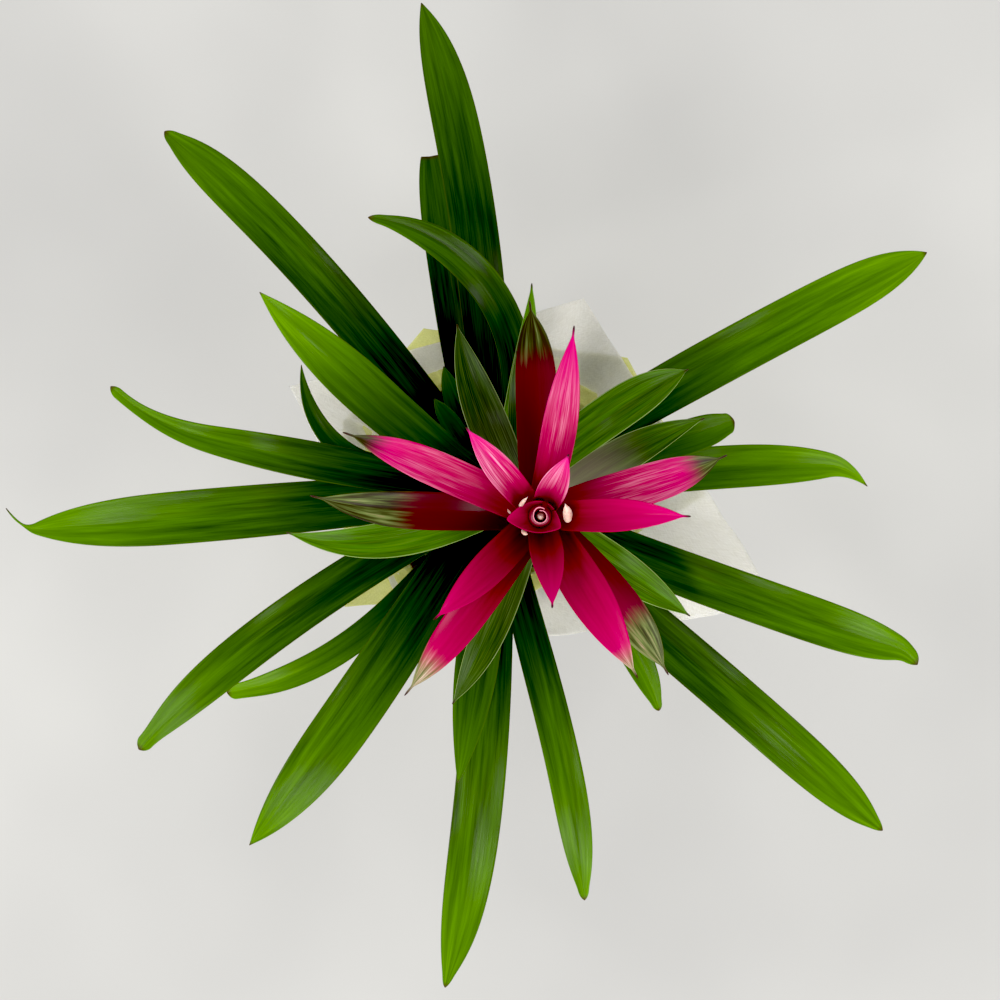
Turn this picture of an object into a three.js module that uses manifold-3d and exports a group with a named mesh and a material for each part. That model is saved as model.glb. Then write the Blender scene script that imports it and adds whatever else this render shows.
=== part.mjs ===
// Potted guzmania: a bromeliad with a star of coloured bracts, in its nursery pot and two paper wraps.
// Millimetres, +Z up. The origin is on the pot's axis, on the surface that the plant stands on.
import * as THREE from 'three';
import { mergeVertices } from 'three/addons/utils/BufferGeometryUtils.js';
import Module from 'manifold-3d';

const wasm = await Module();
wasm.setup();

// Driving dimensions

const SEAT = 0.3;                 // space left between pieces that rest on each other
const BLADE_THICKNESS = 0.8;
const WRAP_THICKNESS = 0.8;
const WRAP_SPACING = 2.2;         // between the two wraps up the wall and out over the flare
const WRAP_FLOOR_GAP = 0.35;      // under each wrap's floor and under the pot

const POT_HEIGHT = 103;
const POT_RADIUS = 59;            // outside, under the lip
const POT_BASE_RADIUS = 43;
const POT_WALL = 1.4;
const POT_LIP = 3;                // how far the lip stands out
const POT_LIP_HEIGHT = 9;
const POT_LIP_DRAFT = 0.6;        // the lip is this much narrower at its lower edge
const POT_LIP_WALL = 2;
const POT_FOOT = 2;               // the floor's underside is raised by this much
const POT_FOOT_WIDTH = 6;         // the ring that the pot stands on
const DRAIN_HOLES = 6;
const DRAIN_HOLE_RADIUS = 4;
const DRAIN_CIRCLE = 27;

const MIX_EDGE_HEIGHT = 90;       // potting mix where it meets the pot
const MIX_CROWN_HEIGHT = 95;      // and where it meets the stock
const STOCK_RADIUS = 11;          // the short rooted stem that the leaves grow from
const STOCK_FOOT_HEIGHT = 45;
const STOCK_TOP_HEIGHT = 130;
const SCAPE_RADIUS = 4.8;         // the flower stalk
const HEAD_RADIUS = 5.5;          // the stalk where the bracts grow from it
const HEAD_FOOT_HEIGHT = 262;
const HEAD_TOP_HEIGHT = 296;
const SCAPE_RINGS = 8;            // sections along the bare stalk
const LEAN_X = 19.8;              // the stalk leans until its head is this far off the pot's axis
const LEAN_Y = -11.5;

// Every blade lies on a bowl turned about an upright axis. In the rosette and in the flower head a bowl
// one tier up starts higher and climbs more steeply, and up the stalk it starts higher and climbs less,
// so blades that pass over one another stay clear, as nested sheaths do.
const ROSETTE = {
  core: STOCK_RADIUS, foot: 97, tierRise: 4, angle: 52, tierAngle: 2.4,
  straighten: 75, droop: 45, tierDroop: -2, span: 200,
};
const STALK = {
  core: SCAPE_RADIUS, foot: 150, tierRise: 13.5, angle: 60, tierAngle: -3.8,
  straighten: 60, droop: 22, tierDroop: -1, span: 100,
};
const STAR = {
  core: HEAD_RADIUS, foot: 266, tierRise: 5, angle: 33, tierAngle: 9,
  straighten: 40, droop: 16, tierDroop: -2, span: 90,
};
const DROOP_POWER = 2.2;
const SHEATH_ANGLE = 0.6;         // radians to each side that a full-width blade clasps the stem
const FULL_WIDTH = 24;
const ROW_EASE = 0.1;             // draws a blade's rows together at both its ends
const CHANNEL_START = 0.2;        // share of its length over which a blade's channel deepens
const SLOPE_STEP = 0.05;

// Each leaf of the rosette: tier, heading in degrees anticlockwise from +X at its base and at its tip,
// reach of the tip from the axis, and width.
const LEAVES = [
  { name: 'leaf_01', tier: 0, base: 109, tip: 102, reach: 174, width: 21 },
  { name: 'leaf_02', tier: 0, base: 229, tip: 217, reach: 171, width: 19 },
  { name: 'leaf_03', tier: 0, base: 311, tip: 306, reach: 138, width: 22 },
  { name: 'leaf_04', tier: 1, base: 93, tip: 99, reach: 255, width: 25 },
  { name: 'leaf_05', tier: 1, base: 172, tip: 147, reach: 115, width: 17 },
  { name: 'leaf_06', tier: 1, base: 267, tip: 264, reach: 257, width: 26 },
  { name: 'leaf_07', tier: 1, base: 7, tip: 1, reach: 189, width: 21 },
  { name: 'leaf_08', tier: 2, base: 130, tip: 132, reach: 249, width: 26 },
  { name: 'leaf_09', tier: 2, base: 237, tip: 235, reach: 217, width: 29 },
  { name: 'leaf_10', tier: 2, base: 318, tip: 318, reach: 262, width: 26 },
  { name: 'leaf_11', tier: 2, base: 33, tip: 28, reach: 249, width: 27 },
  { name: 'leaf_12', tier: 3, base: 184, tip: 182, reach: 246, width: 26 },
  { name: 'leaf_13', tier: 3, base: 281, tip: 282, reach: 207, width: 21 },
  { name: 'leaf_14', tier: 3, base: 15, tip: 18, reach: 122, width: 19 },
  { name: 'leaf_15', tier: 3, base: 117, tip: 113, reach: 68, width: 12 },
  { name: 'leaf_16', tier: 4, base: 212, tip: 216, reach: 216, width: 25 },
  { name: 'leaf_17', tier: 4, base: 336, tip: 338, reach: 222, width: 23 },
  { name: 'leaf_18', tier: 4, base: 71, tip: 115, reach: 148, width: 19 },
  { name: 'leaf_19', tier: 4, base: 124, tip: 124, reach: 56, width: 11 },
  { name: 'leaf_20', tier: 5, base: 171, tip: 165, reach: 192, width: 20 },
  { name: 'leaf_21', tier: 5, base: 264, tip: 262, reach: 141, width: 23 },
  { name: 'leaf_22', tier: 6, base: 148, tip: 140, reach: 146, width: 24 },
];

// Each short leaf up the flower stalk, in the same terms about the stalk where it grows.
const STALK_LEAVES = [
  { name: 'stalk_leaf_1', tier: 0, base: 77, tip: 82, reach: 109, width: 14 },
  { name: 'stalk_leaf_2', tier: 1, base: 36, tip: 34, reach: 109, width: 20 },
  { name: 'stalk_leaf_3', tier: 2, base: 328, tip: 327, reach: 102, width: 18 },
  { name: 'stalk_leaf_4', tier: 3, base: 201, tip: 187, reach: 111, width: 19 },
  { name: 'stalk_leaf_5', tier: 4, base: 90, tip: 92, reach: 74, width: 14 },
  { name: 'stalk_leaf_6', tier: 5, base: 116, tip: 111, reach: 94, width: 18 },
  { name: 'stalk_leaf_7', tier: 6, base: 251, tip: 247, reach: 98, width: 17 },
  { name: 'stalk_leaf_8', tier: 7, base: 39, tip: 30, reach: 90, width: 16 },
];

// Each bract of the flower head, in the same terms, from the lowest round to the two small ones inside.
const BRACTS = [
  { name: 'bract_01', tier: 0, base: 94, tip: 94, reach: 100, width: 18 },
  { name: 'bract_02', tier: 0, base: 175, tip: 175, reach: 107, width: 18 },
  { name: 'bract_03', tier: 0, base: 314, tip: 309, reach: 95, width: 16 },
  { name: 'bract_04', tier: 1, base: 19, tip: 17, reach: 90, width: 19 },
  { name: 'bract_05', tier: 1, base: 155, tip: 156, reach: 98, width: 17 },
  { name: 'bract_06', tier: 1, base: 234, tip: 233, reach: 103, width: 17 },
  { name: 'bract_07', tier: 2, base: 75, tip: 80, reach: 87, width: 17 },
  { name: 'bract_08', tier: 2, base: 224, tip: 224, reach: 67, width: 17 },
  { name: 'bract_09', tier: 2, base: 302, tip: 301, reach: 85, width: 19 },
  { name: 'bract_10', tier: 3, base: 0, tip: 0, reach: 66, width: 15.5 },
  { name: 'bract_11', tier: 3, base: 132, tip: 130, reach: 52, width: 13.5 },
  { name: 'bract_12', tier: 3, base: 281, tip: 277, reach: 41, width: 14 },
  { name: 'bract_13', tier: 4, base: 66, tip: 66, reach: 30, width: 15 },
  { name: 'bract_14', tier: 4, base: 185, tip: 185, reach: 16, width: 11 },
];

// Each flower bud: where round the stalk's top it stands, how far out and up its tip is, and its girth.
const BUDS = [
  { name: 'flower_bud_1', base: 12, tipX: 12, tipY: 2.6, length: 18, radius: 2.2 },
  { name: 'flower_bud_2', base: 75, tipX: 2.6, tipY: 7.2, length: 12, radius: 1.4 },
  { name: 'flower_bud_3', base: 128, tipX: -7, tipY: 7, length: 16, radius: 2 },
  { name: 'flower_bud_4', base: 182, tipX: -13, tipY: 2.5, length: 20, radius: 1.5 },
  { name: 'flower_bud_5', base: 238, tipX: -6.4, tipY: -7, length: 13, radius: 1.7 },
];
const BUD_CIRCLE = 3;
const BUD_FOOT_RADIUS = 0.9;
const BUD_BEND = { out: 0.75, up: 0.4 };          // a bud leans out before it turns up
const BUD_SWELL = [0.8, 1, 0.95, 0.6, 0.2];       // its girth above its foot

// The wraps' free corners: heading in degrees and distance from the axis.
const OUTER_CORNERS = [[-22, 159], [66, 110], [153, 121], [246, 92]];
const INNER_CORNERS = [[-1, 108], [46, 97], [114, 93], [156, 88], [217, 99], [290, 80]];
const WRAP_PLEATS = 10;
const WRAP_COLUMNS = 4 * WRAP_PLEATS;
const FLARE_RADIUS = 66;          // where the wraps leave the pot's lip
const FLARE_HEIGHT = 106.5;
const FLARE_RISE = 24;
const FLARE_LENGTH = 18;
const FLARE_DROOP = 12;           // at FLARE_DROOP_SPAN outside the lip
const FLARE_DROOP_SPAN = 90;
const FLARE_FOLD = 2.6;           // the pleats' waves open to this height over FLARE_FOLD_SPAN
const FLARE_FOLD_SPAN = 40;
const FLARE_LAYER_DROP = 1.15;    // the outer wrap lies this much lower for each spacing
const FLARE_SHARES = [0, 0.3, 0.65, 1];
const PLEAT_DEPTH = 2.4;          // to each side, up the wall
const TIED_PLEAT_DEPTH = 1;       // under the tie
const LIP_PLEAT_DEPTH = 2.2;
const RIM_PLEAT_DEPTH = 1.8;
const FOOT_PLEAT_DEPTH = 0.8;
const FOOT_FOLD_RADIUS = 0.9;     // the wraps turn up this far outside the pot's foot
const FOOT_FOLD_HEIGHT = 5.5;
const FOOT_FOLD_OUT = 2.3;
const WALL_HEIGHTS = [28, 80];    // where the pleats stand out, below and above the tie
const TIE_HEIGHT = 56;
const TIE_RADIUS = 1.3;
const TIE_CLEARANCE = 0.25;       // between the tie and the pleats, beyond the seat

const radians = THREE.MathUtils.degToRad;
const POT_FOOT_HEIGHT = 2 * (WRAP_THICKNESS + WRAP_FLOOR_GAP);   // the pot stands on both wraps
const finishes = {
  leaf: new THREE.MeshStandardMaterial({ color: '#3a6a08', roughness: 0.35 }),
  bract: new THREE.MeshStandardMaterial({ color: '#c8105e', roughness: 0.45 }),
  bud: new THREE.MeshStandardMaterial({ color: '#e3bfae', roughness: 0.5 }),
  stalkLeaf: new THREE.MeshStandardMaterial({ color: '#4a6a1c', roughness: 0.35 }),
  stem: new THREE.MeshStandardMaterial({ color: '#5d6b25', roughness: 0.6 }),
  mix: new THREE.MeshStandardMaterial({ color: '#3b2a1e', roughness: 0.95 }),
  pot: new THREE.MeshStandardMaterial({ color: '#6b4a3a', roughness: 0.55 }),
  outerWrap: new THREE.MeshStandardMaterial({ color: '#dcdad0', roughness: 0.85 }),
  innerWrap: new THREE.MeshStandardMaterial({ color: '#c9cc95', roughness: 0.85 }),
  tie: new THREE.MeshStandardMaterial({ color: '#c8a872', roughness: 0.8 }),
};

const plant = new THREE.Group();

function add(name, geometry, finish, parent = plant) {
  const mesh = new THREE.Mesh(geometry, finish);
  mesh.name = name;
  parent.add(mesh);
  return mesh;
}

function indexed(points, triangles) {
  const geometry = new THREE.BufferGeometry();
  geometry.setAttribute('position', new THREE.Float32BufferAttribute(points.flat(), 3));
  geometry.setIndex(triangles.flat());
  geometry.computeVertexNormals();
  return geometry;
}

// Rings of equal count, joined into one skin, with a flat fan at each end.
function loft(rings) {
  const count = rings[0].length;
  const points = rings.flat();
  const triangles = [];
  for (let ring = 0; ring + 1 < rings.length; ring += 1) {
    for (let side = 0; side < count; side += 1) {
      const a = ring * count + side;
      const b = ring * count + ((side + 1) % count);
      triangles.push([a, b, b + count], [a, b + count, a + count]);
    }
  }
  for (const [ring, turned] of [[0, true], [rings.length - 1, false]]) {
    const middle = points.length;
    const sum = rings[ring].reduce((total, p) => total.map((value, i) => value + p[i]), [0, 0, 0]);
    points.push(sum.map((value) => value / count));
    for (let side = 0; side < count; side += 1) {
      const a = ring * count + side;
      const b = ring * count + ((side + 1) % count);
      triangles.push(turned ? [b, a, middle] : [a, b, middle]);
    }
  }
  return indexed(points, triangles);
}

function levelRing(x, y, z, radius, sides) {
  return Array.from({ length: sides }, (_, side) => {
    const turn = (2 * Math.PI * side) / sides;
    return [x + radius * Math.cos(turn), y + radius * Math.sin(turn), z];
  });
}

// Leaves and bracts

function bowlHeight(bowl, tier, radius) {
  const out = radius - bowl.core;
  const climb = Math.tan(radians(bowl.angle + bowl.tierAngle * tier)) * bowl.straighten;
  const droop = (bowl.droop + bowl.tierDroop * tier) * Math.max(0, out / bowl.span) ** DROOP_POWER;
  return bowl.foot + bowl.tierRise * tier + climb * (1 - Math.exp(-out / bowl.straighten)) - droop;
}

function bowlSlope(bowl, tier, radius) {
  const rise = bowlHeight(bowl, tier, radius + SLOPE_STEP) - bowlHeight(bowl, tier, radius - SLOPE_STEP);
  return rise / (2 * SLOPE_STEP);
}

// A blade runs out along its bowl. neck is its width at the foot, as a share of the full width, shoulder
// is where along it the taper starts, and blunt is how full the tip is. channel lifts both edges, as a
// share of the half width.
function blade(bowl, [centreX, centreY], shape, form) {
  const footSlope = bowlSlope(bowl, shape.tier, bowl.core);
  const lean = Math.sin(Math.atan(footSlope));
  const start = bowl.core + form.seat + 0.5 * BLADE_THICKNESS * lean;
  const clasp = SHEATH_ANGLE * Math.min(1, shape.width / FULL_WIDTH) * form.clasp;
  const heading = (radius) => {
    const share = (radius / shape.reach) ** 2;
    return radians(shape.base + (shape.tip - shape.base) * share);
  };
  const tops = [];
  const bottoms = [];
  for (let row = 0; row <= form.rows; row += 1) {
    const even = row / form.rows;
    const along = even - ROW_EASE * Math.sin(2 * Math.PI * even);
    const radius = start + (shape.reach - start) * along;
    const slope = bowlSlope(bowl, shape.tier, radius);
    const turn = (heading(radius + SLOPE_STEP) - heading(radius - SLOPE_STEP)) / (2 * SLOPE_STEP);
    const skew = Math.atan2(radius * turn, Math.hypot(1, slope));
    const past = Math.max(0, along - form.shoulder) / (1 - form.shoulder);
    const swell = form.neck + (1 - form.neck) * Math.min(1, along / form.shoulder);
    const tapered = 0.5 * shape.width * Math.min(swell, 1 - past ** form.blunt);
    const half = Math.max(form.tipHalf, Math.min(tapered, clasp * radius));
    for (let column = 0; column <= form.columns; column += 1) {
      const across = (2 * column) / form.columns - 1;
      const away = radius - (half * across * Math.sin(skew)) / Math.hypot(1, slope);
      const angle = heading(radius) + (half * across * Math.cos(skew)) / radius;
      const tilt = bowlSlope(bowl, shape.tier, away);
      const length = Math.hypot(1, tilt);
      const normal = [(-tilt * Math.cos(angle)) / length, (-tilt * Math.sin(angle)) / length, 1 / length];
      const middle = [
        centreX + away * Math.cos(angle),
        centreY + away * Math.sin(angle),
        bowlHeight(bowl, shape.tier, away),
      ];
      const lift = half * form.channel * Math.min(1, along / CHANNEL_START) * across * across;
      tops.push(middle.map((value, i) => value + normal[i] * (lift + 0.5 * BLADE_THICKNESS)));
      bottoms.push(middle.map((value, i) => value + normal[i] * (lift - 0.5 * BLADE_THICKNESS)));
    }
  }
  return slab(tops, bottoms, form.rows, form.columns);
}

// Two grids of points, one above the other, closed round their rim. Both are split alike.
function slab(tops, bottoms, rows, columns) {
  const under = tops.length;
  const at = (row, column) => row * (columns + 1) + column;
  const triangles = [];
  for (let row = 0; row < rows; row += 1) {
    for (let column = 0; column < columns; column += 1) {
      const a = at(row, column);
      const b = at(row + 1, column);
      const c = at(row + 1, column + 1);
      const d = at(row, column + 1);
      triangles.push([a, b, c], [a, c, d]);
      triangles.push([a + under, c + under, b + under], [a + under, d + under, c + under]);
    }
  }
  const rim = [];
  for (let row = 0; row < rows; row += 1) rim.push(at(row, 0));
  for (let column = 0; column < columns; column += 1) rim.push(at(rows, column));
  for (let row = rows; row > 0; row -= 1) rim.push(at(row, columns));
  for (let column = columns; column > 0; column -= 1) rim.push(at(0, column));
  rim.forEach((a, i) => {
    const b = rim[(i + 1) % rim.length];
    triangles.push([a, a + under, b + under], [a, b + under, b]);
  });
  return indexed([...tops, ...bottoms], triangles);
}

const LEAF_FORM = {
  columns: 4, shoulder: 0.55, neck: 0.8, blunt: 4, tipHalf: 0.9, channel: 0.12, clasp: 1, seat: SEAT,
};
const STALK_FORM = {
  ...LEAF_FORM, rows: 9, shoulder: 0.45, blunt: 2.6, channel: 0.18, clasp: 2.2, seat: 0.55,
};
const BRACT_FORM = {
  rows: 9, columns: 4, shoulder: 0.4, neck: 0.95, blunt: 2.3, tipHalf: 0.7, channel: 0.2, clasp: 1.1,
  seat: SEAT,
};

// Where the stalk's middle stands at a height: upright over the pot, then leaning, then upright again.
function stalkAt(z) {
  const share = THREE.MathUtils.smoothstep(z, STOCK_TOP_HEIGHT + 4, HEAD_FOOT_HEIGHT - 4);
  return [LEAN_X * share, LEAN_Y * share];
}

for (const leaf of LEAVES) {
  const rows = leaf.reach > 180 ? 13 : 9;
  add(leaf.name, blade(ROSETTE, [0, 0], leaf, { ...LEAF_FORM, rows }), finishes.leaf);
}
for (const leaf of STALK_LEAVES) {
  const foot = STALK.foot + STALK.tierRise * leaf.tier;
  add(leaf.name, blade(STALK, stalkAt(foot), leaf, STALK_FORM), finishes.stalkLeaf);
}
for (const bract of BRACTS) {
  add(bract.name, blade(STAR, [LEAN_X, LEAN_Y], bract, BRACT_FORM), finishes.bract);
}

// Stock, flower stalk and head, grown as one piece

function stemAndScape() {
  const scapeFoot = STOCK_TOP_HEIGHT + 16;
  const scapeTop = HEAD_FOOT_HEIGHT - 8;
  const scape = Array.from({ length: SCAPE_RINGS }, (_, i) => {
    return [scapeFoot + ((scapeTop - scapeFoot) * i) / (SCAPE_RINGS - 1), SCAPE_RADIUS];
  });
  const stations = [
    [STOCK_FOOT_HEIGHT, STOCK_RADIUS], [STOCK_TOP_HEIGHT - 2, STOCK_RADIUS],
    [STOCK_TOP_HEIGHT, STOCK_RADIUS - 0.6],
    ...scape, [HEAD_FOOT_HEIGHT, HEAD_RADIUS],
    [HEAD_TOP_HEIGHT - 2.5, HEAD_RADIUS], [HEAD_TOP_HEIGHT, HEAD_RADIUS - 1.2],
  ];
  return loft(stations.map(([z, radius]) => levelRing(...stalkAt(z), z, radius, 20)));
}
add('stem_and_scape', stemAndScape(), finishes.stem);

// Rolled heart bract with its bud, and the flower buds round it, seated on the stalk's top

const head = new THREE.Group();
head.position.set(LEAN_X, LEAN_Y, 0);
plant.add(head);

function turned(profile, segments) {
  const geometry = new THREE.LatheGeometry(profile.map(([r, z]) => new THREE.Vector2(r, z)), segments);
  geometry.rotateX(Math.PI / 2);
  return closed(geometry);
}

// Shared points merged, so that the skin is closed where a turned or bent surface meets itself.
function closed(geometry) {
  geometry.deleteAttribute('normal');
  geometry.deleteAttribute('uv');
  const merged = mergeVertices(geometry, 1e-3);
  const index = merged.getIndex().array;
  const kept = [];
  for (let i = 0; i < index.length; i += 3) {
    const [a, b, c] = [index[i], index[i + 1], index[i + 2]];
    if (a !== b && b !== c && c !== a) kept.push(a, b, c);
  }
  merged.setIndex(kept);
  return merged;
}

const HEART_FOOT = HEAD_TOP_HEIGHT + SEAT;
const HEART_TOP = HEART_FOOT + 16.7;
add('bract_heart', turned([
  [0, HEART_FOOT], [1.2, HEART_FOOT], [2.2, HEART_FOOT + 6], [3.3, HEART_TOP - 2], [3.1, HEART_TOP],
  [2.4, HEART_TOP], [2.5, HEART_TOP - 3], [1.5, HEART_FOOT + 6], [0, HEART_FOOT + 3],
], 12), finishes.bract, head);
add('flower_bud_heart', turned([
  [0, HEART_FOOT + 3 + SEAT], [0.8, HEART_FOOT + 5.4], [1.4, HEART_TOP - 5], [1, HEART_TOP - 3],
  [0, HEART_TOP - 1.5],
], 10), finishes.bud, head);

function bud({ base, tipX, tipY, length, radius }) {
  const turn = radians(base);
  const from = new THREE.Vector3(BUD_CIRCLE * Math.cos(turn), BUD_CIRCLE * Math.sin(turn), HEART_FOOT);
  const to = new THREE.Vector3(tipX, tipY, HEART_FOOT + length);
  const bend = new THREE.Vector3(
    BUD_BEND.out * tipX, BUD_BEND.out * tipY, HEART_FOOT + BUD_BEND.up * length,
  );
  const path = new THREE.QuadraticBezierCurve3(from, bend, to);
  const swell = [BUD_FOOT_RADIUS, ...BUD_SWELL.map((share) => share * radius)];
  const rings = swell.map((size, i) => {
    const centre = path.getPoint(i / (swell.length - 1));
    return levelRing(centre.x, centre.y, centre.z, size, 8);
  });
  return loft(rings);
}
for (const each of BUDS) add(each.name, bud(each), finishes.bud, head);

// Nursery pot, thin and tapered, with a lip and drain holes

const potOutside = (z) => {
  const share = (z - POT_FOOT_HEIGHT) / (POT_HEIGHT - POT_LIP_HEIGHT);
  return POT_BASE_RADIUS + (POT_RADIUS - POT_BASE_RADIUS) * Math.min(1, Math.max(0, share));
};

function nurseryPot() {
  const foot = POT_FOOT_HEIGHT;
  const top = foot + POT_HEIGHT;
  const lip = top - POT_LIP_HEIGHT;
  const floor = foot + POT_FOOT + POT_WALL;
  const ring = POT_BASE_RADIUS - POT_FOOT_WIDTH;
  const edge = POT_RADIUS + POT_LIP;
  const shell = turned([
    [0, foot + POT_FOOT], [ring - 1, foot + POT_FOOT], [ring, foot], [POT_BASE_RADIUS, foot],
    [POT_RADIUS, lip], [edge - POT_LIP_DRAFT, lip], [edge, top], [edge - POT_LIP_WALL, top],
    [POT_RADIUS - POT_WALL, lip], [potOutside(floor) - POT_WALL, floor], [0, floor],
  ], 48);
  const holes = Array.from({ length: DRAIN_HOLES }, (_, i) => {
    const turn = (2 * Math.PI * i) / DRAIN_HOLES;
    const hole = new THREE.CylinderGeometry(DRAIN_HOLE_RADIUS, DRAIN_HOLE_RADIUS, 12, 12);
    hole.rotateX(Math.PI / 2);
    hole.translate(DRAIN_CIRCLE * Math.cos(turn), DRAIN_CIRCLE * Math.sin(turn), foot + POT_FOOT);
    return closed(hole);
  });
  return fromSolid(holes.reduce((rest, hole) => rest.subtract(toSolid(hole)), toSolid(shell)));
}

function toSolid(geometry) {
  return new wasm.Manifold(new wasm.Mesh({
    numProp: 3,
    vertProperties: new Float32Array(geometry.getAttribute('position').array),
    triVerts: new Uint32Array(geometry.getIndex().array),
  }));
}

function fromSolid(solid) {
  const mesh = solid.getMesh();
  const geometry = new THREE.BufferGeometry();
  geometry.setAttribute('position', new THREE.BufferAttribute(new Float32Array(mesh.vertProperties), 3));
  geometry.setIndex(Array.from(mesh.triVerts));
  return geometry;
}
add('nursery_pot', nurseryPot(), finishes.pot);

// Potting mix: it fills the pot to below the lip and has a plain hole that the stock stands in

function pottingMix() {
  const floor = POT_FOOT_HEIGHT + POT_FOOT + POT_WALL + SEAT;
  const hole = STOCK_RADIUS + SEAT;
  const inside = (z) => potOutside(z) - POT_WALL - SEAT - 0.2;
  return turned([
    [0, floor], [inside(floor) - 0.5, floor], [inside(MIX_EDGE_HEIGHT), MIX_EDGE_HEIGHT],
    [0.8 * POT_RADIUS, MIX_EDGE_HEIGHT + 2.5], [0.55 * POT_RADIUS, MIX_EDGE_HEIGHT + 1.5],
    [0.3 * POT_RADIUS, MIX_CROWN_HEIGHT], [hole, MIX_CROWN_HEIGHT],
    [hole, STOCK_FOOT_HEIGHT - SEAT], [0, STOCK_FOOT_HEIGHT - SEAT],
  ], 32);
}
add('potting_mix', pottingMix(), finishes.mix);

// Wraps: two square sheets gathered up round the pot, pleated, tied, and flared out over the lip

function cornerPoint([heading, distance]) {
  return [distance * Math.cos(radians(heading)), distance * Math.sin(radians(heading))];
}

// Where a ray from the axis leaves the outline that joins the corners by straight edges.
function edgeDistance(corners, angle) {
  const ray = [Math.cos(angle), Math.sin(angle)];
  const distances = corners.map((corner, i) => {
    const from = cornerPoint(corner);
    const to = cornerPoint(corners[(i + 1) % corners.length]);
    const side = [to[0] - from[0], to[1] - from[1]];
    const spread = ray[0] * side[1] - ray[1] * side[0];
    const distance = (from[0] * side[1] - from[1] * side[0]) / spread;
    const share = (from[0] * ray[1] - from[1] * ray[0]) / spread;
    return share >= -1e-9 && share <= 1 + 1e-9 && distance > 0 ? distance : Infinity;
  });
  return Math.min(...distances);
}

const foldWave = (column) => [0, 1, 0, -1][column % 4];

function flareHeight(radius, column) {
  const out = Math.max(0, radius - FLARE_RADIUS);
  const fold = FLARE_FOLD * Math.min(1, out / FLARE_FOLD_SPAN) * foldWave(column);
  const droop = FLARE_DROOP * (out / FLARE_DROOP_SPAN) ** 2;
  return FLARE_HEIGHT + FLARE_RISE * (1 - Math.exp(-out / FLARE_LENGTH)) - droop + fold;
}

function wrap(corners, layer) {
  const floor = 0.5 * WRAP_THICKNESS + (layer ? 0 : WRAP_THICKNESS + WRAP_FLOOR_GAP);
  const out = layer * WRAP_SPACING;
  const clear = SEAT + 0.5 * WRAP_THICKNESS;
  const wall = (z, deep) => ({ z, radius: potOutside(z) + clear + deep + out, deep });
  const turnUp = POT_BASE_RADIUS + clear + FOOT_FOLD_OUT + out;
  const stations = [
    { z: floor, radius: 0.5 * POT_BASE_RADIUS, deep: 0 },
    { z: floor, radius: POT_BASE_RADIUS + FOOT_FOLD_RADIUS, deep: 0 },
    { z: FOOT_FOLD_HEIGHT - 0.5 * out, radius: turnUp, deep: FOOT_PLEAT_DEPTH },
    wall(WALL_HEIGHTS[0], PLEAT_DEPTH),
    wall(TIE_HEIGHT, TIED_PLEAT_DEPTH),
    wall(WALL_HEIGHTS[1], PLEAT_DEPTH),
    { z: FLARE_HEIGHT - 10, radius: FLARE_RADIUS - 1 + out, deep: LIP_PLEAT_DEPTH },
  ];
  const angles = Array.from({ length: WRAP_COLUMNS }, (_, i) => (2 * Math.PI * i) / WRAP_COLUMNS);
  const edgeAngles = angles.slice();
  for (const [heading] of corners) {
    const turn = radians(heading) / (2 * Math.PI);
    const column = (Math.round(turn * WRAP_COLUMNS) + WRAP_COLUMNS) % WRAP_COLUMNS;
    edgeAngles[column] = 2 * Math.PI * (turn + Math.round(column / WRAP_COLUMNS - turn));
  }
  const rings = stations.map(({ z, radius, deep }) => angles.map((angle, column) => {
    const r = radius + deep * foldWave(column);
    return [r * Math.cos(angle), r * Math.sin(angle), z];
  }));
  for (const share of FLARE_SHARES) {
    rings.push(angles.map((angle, column) => {
      const turn = angle + (edgeAngles[column] - angle) * share;
      const lip = FLARE_RADIUS + out + RIM_PLEAT_DEPTH * foldWave(column);
      const r = lip + (edgeDistance(corners, edgeAngles[column]) - lip) * share;
      return [r * Math.cos(turn), r * Math.sin(turn), flareHeight(r, column) - FLARE_LAYER_DROP * out];
    }));
  }
  return sheet(rings, [0, 0, floor]);
}

// A sheet given by rings round a middle point, thickened to both sides of its skin.
function sheet(rings, middle) {
  const count = rings[0].length;
  const points = [middle, ...rings.flat()];
  const triangles = [];
  for (let side = 0; side < count; side += 1) triangles.push([0, 1 + ((side + 1) % count), 1 + side]);
  for (let ring = 0; ring + 1 < rings.length; ring += 1) {
    for (let side = 0; side < count; side += 1) {
      const a = 1 + ring * count + side;
      const b = 1 + ring * count + ((side + 1) % count);
      triangles.push([a, b, b + count], [a, b + count, a + count]);
    }
  }
  const skin = indexed(points, triangles);
  const normals = skin.getAttribute('normal');
  const moved = (amount) => points.map((p, i) => [
    p[0] + amount * normals.getX(i), p[1] + amount * normals.getY(i), p[2] + amount * normals.getZ(i),
  ]);
  const under = points.length;
  const faces = [...triangles, ...triangles.map(([a, b, c]) => [a + under, c + under, b + under])];
  const last = 1 + (rings.length - 1) * count;
  for (let side = 0; side < count; side += 1) {
    const a = last + side;
    const b = last + ((side + 1) % count);
    faces.push([a, b, b + under], [a, b + under, a + under]);
  }
  return indexed([...moved(0.5 * WRAP_THICKNESS), ...moved(-0.5 * WRAP_THICKNESS)], faces);
}
add('wrap_inner', wrap(INNER_CORNERS, 0), finishes.innerWrap);
add('wrap_outer', wrap(OUTER_CORNERS, 1), finishes.outerWrap);

// Raffia tie round the waist of both wraps

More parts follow.
